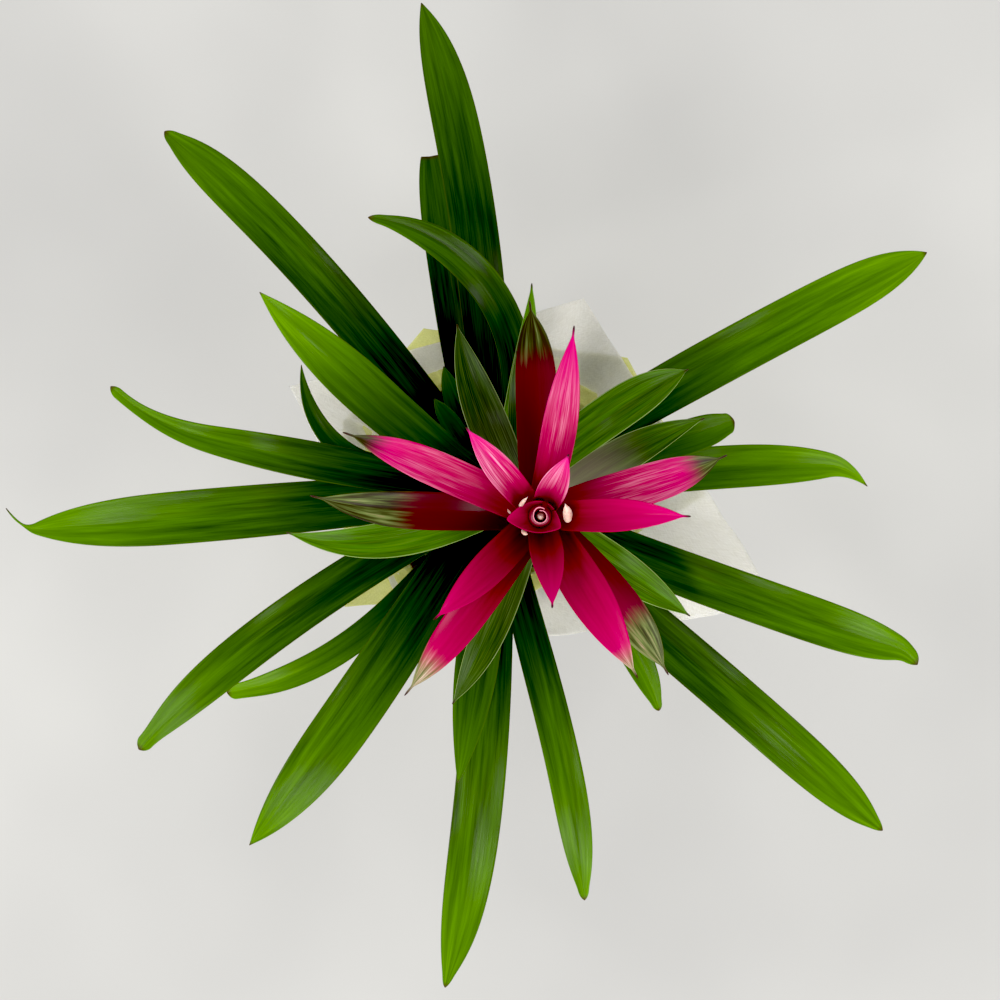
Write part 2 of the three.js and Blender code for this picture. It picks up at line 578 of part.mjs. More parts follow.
function raffiaTie() {
  const outside = potOutside(TIE_HEIGHT) + SEAT + WRAP_SPACING + 2 * TIED_PLEAT_DEPTH + WRAP_THICKNESS;
  const middle = outside + TIE_CLEARANCE + SEAT + TIE_RADIUS;
  const profile = Array.from({ length: 7 }, (_, i) => {
    const turn = (2 * Math.PI * i) / 6;
    return [middle + TIE_RADIUS * Math.cos(turn), TIE_HEIGHT + TIE_RADIUS * Math.sin(turn)];
  });
  return turned(profile, 40);
}
add('raffia_tie', raffiaTie(), finishes.tie);

export default plant;
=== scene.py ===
# A potted guzmania: its pot, potting mix, stem, leaves, flower head and two gathered wraps.
# Lengths are written in millimetres and turned to metres by MM where a mesh or a place is made.
import math
import random
from types import SimpleNamespace

import bmesh
import bpy
from mathutils import Matrix, Vector, noise


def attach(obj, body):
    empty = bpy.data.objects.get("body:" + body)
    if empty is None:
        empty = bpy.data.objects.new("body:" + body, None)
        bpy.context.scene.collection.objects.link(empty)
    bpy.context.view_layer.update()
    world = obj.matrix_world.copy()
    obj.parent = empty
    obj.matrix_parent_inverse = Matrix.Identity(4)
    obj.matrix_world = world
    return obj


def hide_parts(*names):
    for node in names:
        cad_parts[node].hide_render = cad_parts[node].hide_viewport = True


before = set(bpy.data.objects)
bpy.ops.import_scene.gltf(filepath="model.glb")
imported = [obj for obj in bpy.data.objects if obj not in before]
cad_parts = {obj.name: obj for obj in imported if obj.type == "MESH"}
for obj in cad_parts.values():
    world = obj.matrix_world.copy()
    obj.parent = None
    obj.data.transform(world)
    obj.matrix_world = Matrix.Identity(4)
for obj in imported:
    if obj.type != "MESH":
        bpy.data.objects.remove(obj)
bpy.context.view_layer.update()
MM = 0.001

# Camera, floor and light
# The plant is seen from straight above, as it stands on a light table: opal acrylic lit from below, which
# keeps the shadows faint. Three softboxes from the front give the sloping parts their gloss. The walls are
# pale and the ceiling is dim, so that level parts stay deep in colour. The blacks are graded deep.
# The table, the places of the softboxes and their size are in metres here.

CAMERA_PLACE = (1.56 * MM, -4.2 * MM, 1500 * MM)
FOCAL_LENGTH = 95.4
VIEW_END = 20
TABLE_SIZE = 6.0
TABLE_SHADES = [(0.35, "#8f8e8b"), (0.65, "#767573")]
TABLE_GLOW = 0.41
ROOM_STRENGTH = 1.2
ROOM_SHADES = [(0.0, "#e1e2e0"), (0.2, "#ffffff"), (0.5, "#f3f4f2"), (0.7, "#a0a19f"), (1.0, "#959694")]
SOFTBOX_SIZE = 0.75
SOFTBOX_AIM = (0, 0, 0.2)
SOFTBOXES = {
    "softbox_left": {"place": (-1.56, -0.57, 2.3), "power": 22},
    "softbox_front": {"place": (-0.62, -1.54, 2.3), "power": 24},
    "softbox_right": {"place": (1.31, -1.02, 2.3), "power": 24},
}
DEEPEST_BLACK = 0.02
BRIGHTEST_WHITE = 0.97


def linear(code):
    """An sRGB hex colour as the linear values that a shader takes."""
    shares = [int(code[i:i + 2], 16) / 255 for i in (1, 3, 5)]
    return [*(s / 12.92 if s <= 0.04045 else ((s + 0.055) / 1.055) ** 2.4 for s in shares), 1.0]


def add_node(material, kind, settings=None, inputs=None, ramp=(), output=None):
    """Add a node with its own settings. An input is a value, or the output that feeds it. It gives back the
    output of that name, or else the first one in use."""
    made = material.node_tree.nodes.new("ShaderNode" + kind)
    for key, value in (settings or {}).items():
        setattr(made, key, value)
    for key, value in (inputs or {}).items():
        if isinstance(value, bpy.types.NodeSocket):
            material.node_tree.links.new(value, made.inputs[key])
        else:
            made.inputs[key].default_value = value
    for place, stop in enumerate(ramp):
        elements = made.color_ramp.elements
        element = elements[place] if place < 2 else elements.new(stop[0])
        element.position = stop[0]
        element.color = linear(stop[1])
    return made.outputs[output] if output else next((each for each in made.outputs if each.enabled), None)


def new_material(name):
    """An empty material."""
    material = bpy.data.materials.new(name)
    material.use_nodes = True
    material.node_tree.nodes.clear()
    return material


def finish_material(material, skin):
    """Lead the colour, gloss and relief of a skin through the shader to the material's output."""
    shader = add_node(material, "BsdfPrincipled", inputs=skin)
    add_node(material, "OutputMaterial", inputs={"Surface": shader})
    return material


def grain(material, size, detail, roughness=0.5, stretch=(1, 1, 1)):
    """A cloudy pattern in the piece's own place. Its grains are size millimetres apart, and they are drawn
    out along the axes where stretch is small."""
    place = add_node(material, "TexCoord", output="Object")
    stretched = add_node(material, "Mapping", inputs={"Vector": place, "Scale": stretch})
    return add_node(material, "TexNoise", inputs={
        "Vector": stretched, "Scale": 1 / (size * MM), "Detail": detail, "Roughness": roughness})


def lit_acrylic():
    """Matt opal acrylic that glows faintly from the lamps under it, a little unevenly."""
    material = new_material("lit_acrylic")
    tint = add_node(material, "ValToRGB", inputs={"Fac": grain(material, 400, 3.0)}, ramp=TABLE_SHADES)
    return finish_material(material, {
        "Base Color": tint, "Roughness": 0.9, "Specular IOR Level": 0.2,
        "Emission Color": linear("#fffefb"), "Emission Strength": TABLE_GLOW})


bpy.ops.object.select_all(action="DESELECT")
bpy.ops.mesh.primitive_plane_add(size=TABLE_SIZE)
table = bpy.context.object
table.name = "table"
table.data.materials.append(lit_acrylic())

for name, box in SOFTBOXES.items():
    bpy.ops.object.light_add(type="AREA", location=box["place"])
    light = bpy.context.object
    light.name = name
    light.data.shape = "DISK"
    light.data.size = SOFTBOX_SIZE
    light.data.energy = box["power"]
    light.visible_camera = False
    light.rotation_mode = "QUATERNION"
    light.rotation_quaternion = (Vector(SOFTBOX_AIM) - Vector(box["place"])).to_track_quat("-Z", "Y")

room = bpy.data.worlds.new("room")
room.use_nodes = True
direction = add_node(room, "TexCoord", output="Generated")
rise = add_node(room, "SeparateXYZ", inputs={"Vector": direction}, output="Z")
shade = add_node(room, "ValToRGB", inputs={"Fac": rise}, ramp=ROOM_SHADES)
background = room.node_tree.nodes["Background"]
room.node_tree.links.new(shade, background.inputs["Color"])
background.inputs["Strength"].default_value = ROOM_STRENGTH
bpy.context.scene.world = room
grading = bpy.context.scene.view_settings
grading.view_transform = "Standard"
grading.use_curve_mapping = True
grading.curve_mapping.black_level = [DEEPEST_BLACK] * 3
grading.curve_mapping.white_level = [BRIGHTEST_WHITE] * 3
grading.curve_mapping.update()

bpy.ops.object.camera_add(location=CAMERA_PLACE)
camera = bpy.context.object
camera.data.lens = FOCAL_LENGTH
camera.data.clip_end = VIEW_END
bpy.context.scene.camera = camera

# Nursery pot
# A thin tapered pot of brown polypropylene, injection moulded in one piece with a stepped lip, a
# raised floor and drain holes. Most of it is hidden by the wraps.

POT_FOOT_HEIGHT = 2.3
POT_HEIGHT = 103
POT_RADIUS = 59
POT_BASE_RADIUS = 43
POT_WALL = 1.4
POT_LIP = 3
POT_LIP_HEIGHT = 9
POT_FLOOR_RISE = 2
POT_SIDES = 96
DRAIN_HOLES = 6
DRAIN_HOLE_RADIUS = 4
DRAIN_CIRCLE = 27
DRILL_LENGTH = 12
SHARP_EDGE = 35
ON_AXIS = 0.01


def select_only(*pieces):
    """Select these pieces alone, the first one active, since an operator acts on all that is selected."""
    if bpy.context.object and bpy.context.object.mode != "OBJECT":
        bpy.ops.object.mode_set(mode="OBJECT")
    bpy.ops.object.select_all(action="DESELECT")
    for piece in pieces:
        piece.select_set(True)
    if pieces:
        bpy.context.view_layer.objects.active = pieces[0]


def name_piece(name, *materials):
    """Name the active object, and give it its materials."""
    piece = bpy.context.object
    piece.name = piece.data.name = name
    for material in materials:
        piece.data.materials.append(material)
    return piece


def place_piece(piece, slot, *nodes):
    """Bring a finished piece to the origin, with its place in its mesh, and set it for its CAD nodes."""
    select_only(piece)
    bpy.ops.object.transform_apply(location=True, rotation=True, scale=True)
    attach(piece, "root")
    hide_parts(*nodes)


def apply_modifiers(piece):
    """Apply every modifier of a piece in order."""
    select_only(piece)
    for modifier in list(piece.modifiers):
        bpy.ops.object.modifier_apply(modifier=modifier.name)


def turned(profile, sides):
    """A ring of points at the profile's first (radius, height) in millimetres, extruded from one to the
    next and closed on itself. Where the profile runs along the axis its rings are merged to a point."""
    select_only()
    radius, height = profile[0]
    bpy.ops.mesh.primitive_circle_add(
        vertices=sides, radius=max(radius, ON_AXIS) * MM, location=(0, 0, height * MM))
    bpy.ops.object.mode_set(mode="EDIT")
    bpy.ops.mesh.select_all(action="SELECT")
    for (radius, height), (next_radius, next_height) in zip(profile, profile[1:] + profile[:1]):
        growth = max(next_radius, ON_AXIS) / max(radius, ON_AXIS)
        bpy.ops.mesh.extrude_edges_move(
            TRANSFORM_OT_translate={"value": (0, 0, (next_height - height) * MM)})
        bpy.ops.transform.resize(value=(growth, growth, 1), center_override=(0, 0, next_height * MM))
    bpy.ops.mesh.select_all(action="SELECT")
    bpy.ops.mesh.remove_doubles(threshold=3 * ON_AXIS * MM)
    bpy.ops.mesh.normals_make_consistent(inside=False)
    bpy.ops.object.mode_set(mode="OBJECT")
    bpy.ops.object.transform_apply(location=True, rotation=True, scale=True)
    return bpy.context.object


def moulded_polypropylene():
    """Satin brown polypropylene with the fine spark texture that the mould leaves."""
    material = new_material("moulded_polypropylene")
    spark = grain(material, 0.8, 2.0)
    streak = grain(material, 30, 3.0)
    tint = add_node(material, "ValToRGB", inputs={"Fac": streak}, ramp=[(0.3, "#5a3325"), (0.7, "#6e4130")])
    relief = add_node(material, "Bump", inputs={"Height": spark, "Strength": 0.25, "Distance": 0.1 * MM})
    return finish_material(material, {"Base Color": tint, "Roughness": 0.48, "Normal": relief})


def pot_outside(height):
    """The pot's outer radius under its lip."""
    share = (height - POT_FOOT_HEIGHT) / (POT_HEIGHT - POT_LIP_HEIGHT)
    return POT_BASE_RADIUS + (POT_RADIUS - POT_BASE_RADIUS) * min(1, max(0, share))


pot_top = POT_FOOT_HEIGHT + POT_HEIGHT
lip_foot = pot_top - POT_LIP_HEIGHT
lip_radius = POT_RADIUS + POT_LIP
pot_floor = POT_FOOT_HEIGHT + POT_FLOOR_RISE + POT_WALL
pot = turned([
    (POT_BASE_RADIUS - 7, POT_FOOT_HEIGHT + POT_FLOOR_RISE), (POT_BASE_RADIUS - 6, POT_FOOT_HEIGHT),
    (POT_BASE_RADIUS - 0.6, POT_FOOT_HEIGHT), (POT_BASE_RADIUS, POT_FOOT_HEIGHT + 0.8),
    (POT_RADIUS, lip_foot), (lip_radius - 1, lip_foot), (lip_radius - 0.4, lip_foot + 0.6),
    (lip_radius, pot_top - 0.7), (lip_radius - 0.7, pot_top),
    (lip_radius - 1.4, pot_top), (lip_radius - 2, pot_top - 0.7),
    (POT_RADIUS - POT_WALL, lip_foot), (pot_outside(pot_floor) - POT_WALL, pot_floor),
    (0, pot_floor), (0, POT_FOOT_HEIGHT + POT_FLOOR_RISE),
], POT_SIDES)
name_piece("pot_shell", moulded_polypropylene())
for hole in range(DRAIN_HOLES):
    heading = 2 * math.pi * hole / DRAIN_HOLES
    select_only()
    place = Vector((DRAIN_CIRCLE * math.cos(heading), DRAIN_CIRCLE * math.sin(heading), pot_floor)) * MM
    bpy.ops.mesh.primitive_cylinder_add(
        vertices=24, radius=DRAIN_HOLE_RADIUS * MM, depth=DRILL_LENGTH * MM, location=place)
    drill = bpy.context.object
    cut = pot.modifiers.new("drain_hole", "BOOLEAN")
    cut.object = drill
    cut.operation = "DIFFERENCE"
    apply_modifiers(pot)
    bpy.data.objects.remove(drill)
select_only(pot)
bpy.ops.object.shade_smooth_by_angle(angle=math.radians(SHARP_EDGE))
place_piece(pot, "pot", "nursery_pot")

# Potting mix
# Dark peat and composted bark, filled by hand to just under the lip: a crumbly surface with chips of
# bark and specks of perlite in it.

MIX_EDGE_HEIGHT = 90
MIX_CROWN_HEIGHT = 95
MIX_SEAT = 0.5
MIX_RINGS = 24
MIX_SIDES = 120
CRUMB_SIZE = 5
CRUMB_RELIEF = 1.1
STOCK_RADIUS = 11
STOCK_FOOT_HEIGHT = 45
STOCK_CLEARANCE = 0.4
BARK_CHIPS = 260
PERLITE_GRAINS = 90
BARE_EDGE = 4
BARE_MIDDLE = 3


def damp_peat():
    """Damp milled peat: nearly black brown, matt, with paler fibres and a coarse broken relief."""
    material = new_material("damp_peat")
    crumb = grain(material, 2.5, 6.0, 0.7)
    tint = add_node(material, "ValToRGB", inputs={"Fac": crumb},
                    ramp=[(0.3, "#120b07"), (0.55, "#2c1c11"), (0.75, "#54391f")])
    relief = add_node(material, "Bump", inputs={"Height": crumb, "Strength": 0.8, "Distance": 0.8 * MM})
    return finish_material(material, {"Base Color": tint, "Roughness": 0.92, "Normal": relief})


def chip_finish(name, dark, pale, roughness):
    """Broken bark, or crushed perlite: a dry matt grain between two tints."""
    material = new_material(name)
    tint = add_node(material, "ValToRGB", inputs={"Fac": grain(material, 1.4, 4.0)},
                    ramp=[(0.35, dark), (0.7, pale)])
    return finish_material(material, {"Base Color": tint, "Roughness": roughness})


def mix_inside(height):
    """The mix's outer radius, just inside the pot's wall."""
    return pot_outside(height) - POT_WALL - MIX_SEAT


mix_floor = pot_floor + MIX_SEAT
mix_radius = mix_inside(MIX_EDGE_HEIGHT)
mix_hole = STOCK_RADIUS + STOCK_CLEARANCE
mix_hole_floor = STOCK_FOOT_HEIGHT - STOCK_CLEARANCE


def mix_surface(radius):
    """Height of the mix at a distance from the pot's axis."""
    share = min(1, max(0, (radius - STOCK_RADIUS) / (mix_radius - STOCK_RADIUS)))
    return MIX_CROWN_HEIGHT + (MIX_EDGE_HEIGHT - MIX_CROWN_HEIGHT) * share ** 1.5


mix_rings = [mix_radius + (mix_hole - mix_radius) * ring / MIX_RINGS for ring in range(MIX_RINGS + 1)]
mix = turned([
    (mix_inside(mix_floor), mix_floor), *[(radius, mix_surface(radius)) for radius in mix_rings],
    (mix_hole, mix_hole_floor), (0, mix_hole_floor), (0, mix_floor),
], MIX_SIDES)
name_piece("mix_bed", damp_peat(), chip_finish("composted_bark", "#2a160b", "#5e3a20", 0.85),
           chip_finish("perlite", "#b9b4a6", "#dcd9cf", 0.9))
for vertex in mix.data.vertices:
    if vertex.co.z > (MIX_EDGE_HEIGHT - 1) * MM and vertex.co.xy.length > (STOCK_RADIUS + 1) * MM:
        vertex.co.z += CRUMB_RELIEF * MM * noise.fractal(vertex.co / (CRUMB_SIZE * MM), 1.0, 2.0, 4)
rng = random.Random(11)
chips = bmesh.new()
for chip in range(BARK_CHIPS + PERLITE_GRAINS):
    perlite = chip >= BARK_CHIPS
    size = rng.uniform(0.7, 1.3) if perlite else rng.uniform(1.2, 3.6)
    strewn = mix_radius - BARE_EDGE - STOCK_RADIUS - BARE_MIDDLE
    radius = STOCK_RADIUS + BARE_MIDDLE + strewn * math.sqrt(rng.random())
    heading = rng.uniform(0, 2 * math.pi)
    shape = (1, 1, 0.8) if perlite else (1, rng.uniform(0.4, 0.8), rng.uniform(0.25, 0.45))
    height = mix_surface(radius) + 0.3 * size
    place = Vector((radius * math.cos(heading), radius * math.sin(heading), height)) * MM
    turn = Matrix.Rotation(rng.uniform(-0.5, 0.5), 4, "X") @ Matrix.Rotation(rng.uniform(-0.5, 0.5), 4, "Y")
    pose = Matrix.Translation(place) @ Matrix.Rotation(rng.uniform(0, 6.3), 4, "Z") @ turn
    made = bmesh.ops.create_icosphere(
        chips, subdivisions=1, radius=size * MM, matrix=pose @ Matrix.Diagonal((*shape, 1)))
    for vertex in made["verts"]:
        vertex.co += 0.22 * size * MM * Vector((rng.uniform(-1, 1), rng.uniform(-1, 1), rng.uniform(-1, 1)))
        for face in vertex.link_faces:
            face.material_index = 2 if perlite else 1
chip_mesh = bpy.data.meshes.new("chips")
chips.to_mesh(chip_mesh)
chips.free()
chip_pile = bpy.data.objects.new("chips", chip_mesh)
bpy.context.collection.objects.link(chip_pile)
for material in mix.data.materials:
    chip_mesh.materials.append(material)
select_only(mix, chip_pile)
bpy.ops.object.join()
place_piece(mix, "potting_mix", "potting_mix")

# Stock, flower stalk and head
# One stem grows from the roots to the flower head: a short woody stock that the leaves clasp, a green
# stalk with a scar ring under each short leaf, and a pink head. It leans a little as it rises.

STOCK_TOP_HEIGHT = 130
SCAPE_RADIUS = 4.8
SCAR_FOOT_HEIGHT = 150
SCAR_PITCH = 13.5
SCARS = 8
HEAD_RADIUS = 5.5
HEAD_FOOT_HEIGHT = 262
HEAD_TOP_HEIGHT = 296
LEAN = (19.8, -11.5)
STRAIGHT_LENGTH = 4
STEM_SIDES = 40


def stalk_at(height):
    """Where the stalk's middle stands at a height: upright, then leaning, then upright again."""
    foot = STOCK_TOP_HEIGHT + STRAIGHT_LENGTH
    share = min(1, max(0, (height - foot) / (HEAD_FOOT_HEIGHT - STRAIGHT_LENGTH - foot)))
    share = share * share * (3 - 2 * share)
    return LEAN[0] * share, LEAN[1] * share


def living_stem():
    """Smooth waxy stem skin: woody and pale at the stock, green up the stalk, wine red at the head."""
    material = new_material("stem_skin")
    place = add_node(material, "TexCoord", output="Object")
    level = add_node(material, "SeparateXYZ", inputs={"Vector": place}, output="Z")
    height = add_node(material, "MapRange", inputs={
        "Value": level, "From Min": 90 * MM, "From Max": 300 * MM})
    fibre = grain(material, 1.5, 3.0, stretch=(1, 1, 0.08))
    shifted = add_node(material, "Math", {"operation": "MULTIPLY_ADD"}, {0: fibre, 1: 0.12, 2: height})
    tint = add_node(material, "ValToRGB", inputs={"Fac": shifted}, ramp=[
        (0.05, "#6d6136"), (0.3, "#5c7322"), (0.62, "#6c7a35"), (0.85, "#a52a4a"), (1.0, "#8a0a33")])
    relief = add_node(material, "Bump", inputs={"Height": fibre, "Strength": 0.4, "Distance": 0.3 * MM})
    return finish_material(material, {"Base Color": tint, "Roughness": 0.42, "Normal": relief})


stem_line = [
    (0, STOCK_FOOT_HEIGHT), (STOCK_RADIUS - 1, STOCK_FOOT_HEIGHT), (STOCK_RADIUS, STOCK_FOOT_HEIGHT + 1),
    *[(STOCK_RADIUS, height) for height in (90, 100, 110, 120, STOCK_TOP_HEIGHT - 2)],
    (STOCK_RADIUS - 0.6, STOCK_TOP_HEIGHT), (STOCK_RADIUS - 3.2, STOCK_TOP_HEIGHT + 6),
    (SCAPE_RADIUS, STOCK_TOP_HEIGHT + 16),
]
for scar in range(SCARS):
    for swell, above in ((-0.15, -1.2), (0.15, 0), (-0.1, 1.4), (-0.1, 6)):
        stem_line.append((SCAPE_RADIUS + swell, SCAR_FOOT_HEIGHT + SCAR_PITCH * scar + above))
stem_line += [
    (SCAPE_RADIUS, HEAD_FOOT_HEIGHT - 4), (HEAD_RADIUS, HEAD_FOOT_HEIGHT),
    (HEAD_RADIUS, HEAD_TOP_HEIGHT - 2.5), (HEAD_RADIUS - 0.5, HEAD_TOP_HEIGHT - 0.8),
    (HEAD_RADIUS - 1.6, HEAD_TOP_HEIGHT), (0, HEAD_TOP_HEIGHT),
]
stem = turned(stem_line, STEM_SIDES)
name_piece("stem", living_stem())
for vertex in stem.data.vertices:
    vertex.co += Vector((*stalk_at(vertex.co.z / MM), 0)) * MM
bpy.ops.object.shade_smooth_by_angle(angle=math.radians(50))
place_piece(stem, "stem", "stem_and_scape")

# Leaves of the rosette
# Thick glossy strap leaves that clasp the stock one over another, rise steeply and arch out under their
# own weight. Each is folded slightly along its midrib and ends in a short dry point.

BLADE_THICKNESS = 0.7
SEAT = 0.3
DROOP_POWER = 2.2
SHEATH_SPREAD = 0.6
SHEATH_SHARE = 0.2
CREASE_WIDTH = 1.3
CREASE_FULL_HALF = 4
WAVE_FULL_HALF = 6
WAVE_LENGTHS = (13, 7.3)
ROW_CROWDING = 0.1

# A tier's blades lie on one turned bowl. Its height at the core is foot, and rise more for each tier. It
# starts at angle degrees, straightens out, and has sunk again by droop at span from the core.
ROSETTE = SimpleNamespace(
    core=STOCK_RADIUS, foot=97, rise=4, angle=52, tier_angle=2.4, straighten=75,
    droop=45, tier_droop=-2, span=200)

# What a blade has where its own row says nothing else. It is full at shoulder and has run out at point,
# later if blunt is large. neck is the share of its width at the foot, and tip is half the width of its
# rounded end. sway bends it aside in the middle, hook does so past hook_from, both in degrees, and nod
# bends it down. tone, green, wine and tip_tone are marks that its materials read.
LEAF = dict(
    rows=56, columns=12, shoulder=0.5, neck=0.8, blunt=3.4, point=1.0, tip=0.5, channel=0.17, crease=0.45,
    clasp=0.025, spread=SHEATH_SPREAD, seat=SEAT, sway=0, hook=0, hook_from=0.9, nod=0, wave=0.35,
    tone=0.5, green=0.0, wine=0.0, tip_tone=0.3)
# A row is a tier, the heading of the foot and of the tip in degrees, the reach from the axis, the width and
# what the blade has of its own.
LEAVES = {
    "leaf_01": (0, 110, 101.3, 174, 18.5, dict(blunt=4.5, point=1.08, tip=2.4, sway=-3.8, tone=0.05)),
    "leaf_02": (0, 229, 216.6, 171, 13.5, dict(shoulder=0.4, blunt=6, tip=4, sway=1.8, tone=0.8)),
    "leaf_03": (0, 313, 306.5, 138, 16, dict(blunt=5, tip=2.4, sway=2)),
    "leaf_04": (1, 93, 98.8, 255, 24, dict(blunt=4.8, tip=1.2, sway=0.4, tone=0.2)),
    "leaf_05": (1, 170, 160, 117, 11, dict(sway=1, hook=-13, hook_from=0.5, tone=0.15)),
    "leaf_06": (1, 267, 264, 257, 25, dict(blunt=4.2, tip=2.2, sway=0.7)),
    "leaf_07": (1, 6.8, 3.8, 187, 22, dict(sway=0.5, hook=-3, hook_from=0.88, tone=0.75)),
    "leaf_08": (2, 130, 132.7, 249, 23.3, dict(blunt=6, tip=3.2, sway=-0.9, tone=0.35)),
    "leaf_09": (2, 237, 235, 217, 28, dict(shoulder=0.55, blunt=3, sway=0.5)),
    "leaf_10": (2, 318, 318.7, 262, 24, dict(blunt=5.6, tip=2.4, sway=0.8, tone=0.45)),
    "leaf_11": (2, 33, 29.1, 250, 25.2, dict(blunt=6, tip=1.6, sway=-1.3, tone=0.65)),
    "leaf_12": (3, 184, 184.6, 246, 26.4, dict(shoulder=0.55, blunt=3.2, point=0.965, sway=0.5, hook=-2.7,
                                               hook_from=0.93, tone=0.6)),
    "leaf_13": (3, 281, 282.1, 207, 17.6, dict(blunt=5, tip=2.4, sway=2.5)),
    "leaf_14": (3, 15, 16.5, 122, 17, dict(blunt=9, tip=5, tone=0.3)),
    "leaf_15": (3, 117, 113, 68, 12, dict(tone=0.2)),
    "leaf_16": (4, 208.5, 215.8, 216, 21, dict(neck=0.95, shoulder=0.4, blunt=4.8, tip=4, sway=0.7,
                                               tone=0.45)),
    "leaf_17": (4, 332.5, 338.9, 223, 22.6, dict(blunt=6, tip=3.6, sway=2.5, hook=-1.3, hook_from=0.93)),
    "leaf_18": (4, 71, 114.7, 147, 17.5, dict(shoulder=0.45, blunt=5, tip=2.2, sway=1.6, hook=0.5,
                                              hook_from=0.85, tone=0.1)),
    "leaf_19": (4, 124, 124, 56, 11, dict(tone=0.3)),
    "leaf_20": (5, 171, 168.6, 192, 19, dict(shoulder=0.42, blunt=1.8, tip=2.6, hook=-3.8, hook_from=0.7)),
    "leaf_21": (5, 264, 262.4, 141, 22, dict(blunt=2.1, tone=0.35)),
    "leaf_22": (6, 148, 140, 146, 25, dict(blunt=2.2, sway=-3, tone=0.75)),
}


def bowl_height(bowl, tier, radius):
    """Height of the turned bowl that the blades of a tier lie on, at a distance from its axis."""
    out = radius - bowl.core
    climb = math.tan(math.radians(bowl.angle + bowl.tier_angle * tier)) * bowl.straighten
    droop = (bowl.droop + bowl.tier_droop * tier) * max(0, out / bowl.span) ** DROOP_POWER
    return bowl.foot + bowl.rise * tier + climb * (1 - math.exp(-out / bowl.straighten)) - droop


def bowl_slope(bowl, tier, radius):
    """Rise of that bowl for each millimetre outwards."""
    return (bowl_height(bowl, tier, radius + 0.05) - bowl_height(bowl, tier, radius - 0.05)) / 0.1


def blade_half_width(form, along):
    """Half the blade's width at a share of its length, before its foot is fitted to the stem."""
    past = min(1, max(0, along - form.shoulder) / (form.point - form.shoulder))
    swell = form.neck + (1 - form.neck) * math.sin(0.5 * math.pi * min(1, along / form.shoulder))
    body = 0.5 * form.width * swell * (1 - past ** form.blunt)
    rounded_end = form.tip * math.sqrt(min(1, (1 - along) / 0.02))
    return max((body ** 4 + rounded_end ** 4) ** 0.25, 0.12)


def add_marks(piece, marks):
    """Keep a value at each point of a mesh, or one value all over it, for its materials to read."""
    for name, values in marks.items():
        spread = values if isinstance(values, list) else [values] * len(piece.data.vertices)
        piece.data.attributes.new(name, "FLOAT", "POINT").data.foreach_set("value", spread)


def thicken_and_smooth(piece, thickness, rounds):
    """Give a sheet its thickness, with its last material below, and round its facets."""
    if thickness:
        thicken = piece.modifiers.new("thickness", "SOLIDIFY")
        thicken.thickness = thickness * MM
        thicken.offset = 0
        thicken.material_offset = 1
    if rounds:
        smooth = piece.modifiers.new("smooth", "SUBSURF")
        smooth.levels = smooth.render_levels = rounds
    apply_modifiers(piece)
    bpy.ops.object.shade_smooth()


def blade(name, bowl, centre, usual, row, upper, lower):
    """A grid laid along its bowl, folded along its midrib, given its thickness and smoothed. Attributes
    keep the place on the blade: across it and along it as shares, and both in millimetres."""
    tier, base, tip_heading, reach, width, own = row
    form = SimpleNamespace(**{**usual, **own}, width=width)
    foot_rise = math.sin(math.atan(bowl_slope(bowl, tier, bowl.core)))
    start = bowl.core + form.seat + 0.5 * BLADE_THICKNESS * foot_rise
    clasp = min(form.clasp * width, form.spread)
    phase = 7.3 * base

    def heading(radius):
        share = (radius - start) / (reach - start)
        turn = (tip_heading - base) * (radius / reach) ** 2
        bend = form.sway * math.sin(math.pi * share)
        curl = form.hook * max(0, (share - form.hook_from) / (1 - form.hook_from)) ** 2
        return math.radians(base + turn + bend + curl)

    select_only()
    bpy.ops.mesh.primitive_grid_add(x_subdivisions=form.columns, y_subdivisions=form.rows, size=2)
    piece = name_piece(name + "_blade", upper, lower)
    marks = {mark: [] for mark in ("across", "along", "vein", "run")}
    for vertex in piece.data.vertices:
        across = -vertex.co.x
        even = 0.5 * (vertex.co.y + 1)
        along = even - ROW_CROWDING * math.sin(2 * math.pi * even)
        radius = start + (reach - start) * along
        steep = math.hypot(1, bowl_slope(bowl, tier, radius))
        skew = math.atan2(radius * (heading(radius + 0.05) - heading(radius - 0.05)) / 0.1, steep)
        half = min(blade_half_width(form, along), clasp * radius)
        away = radius - half * across * math.sin(skew) / steep
        angle = heading(radius) + half * across * math.cos(skew) / radius
        tilt = bowl_slope(bowl, tier, away)
        normal = Vector((-tilt * math.cos(angle), -tilt * math.sin(angle), 1)).normalized()
        depth = min(1, along / SHEATH_SHARE)
        channel = half * form.channel * across * across
        midrib = math.exp(-(half * across / CREASE_WIDTH) ** 2)
        crease = form.crease * midrib * min(1, half / CREASE_FULL_HALF)
        ripple = math.sin(radius / WAVE_LENGTHS[0] + phase + 1.4 * across)
        ripple += 0.6 * math.sin(radius / WAVE_LENGTHS[1] + 2 * phase)
        wave = form.wave * ripple * abs(across) ** 3 * min(1, half / WAVE_FULL_HALF)
        point = Vector((centre[0] + away * math.cos(angle), centre[1] + away * math.sin(angle),
                        bowl_height(bowl, tier, away) - form.nod * along ** 2.5))
        vertex.co = (point + normal * depth * (channel - crease + wave)) * MM
        for mark, value in zip(marks.values(), (across, along, 0.5 * width * across, radius)):
            mark.append(value)
    add_marks(piece, {
        **marks, "tone": form.tone, "green": form.green, "wine": form.wine, "tip_tone": form.tip_tone})
    thicken_and_smooth(piece, BLADE_THICKNESS, 1)
    return piece


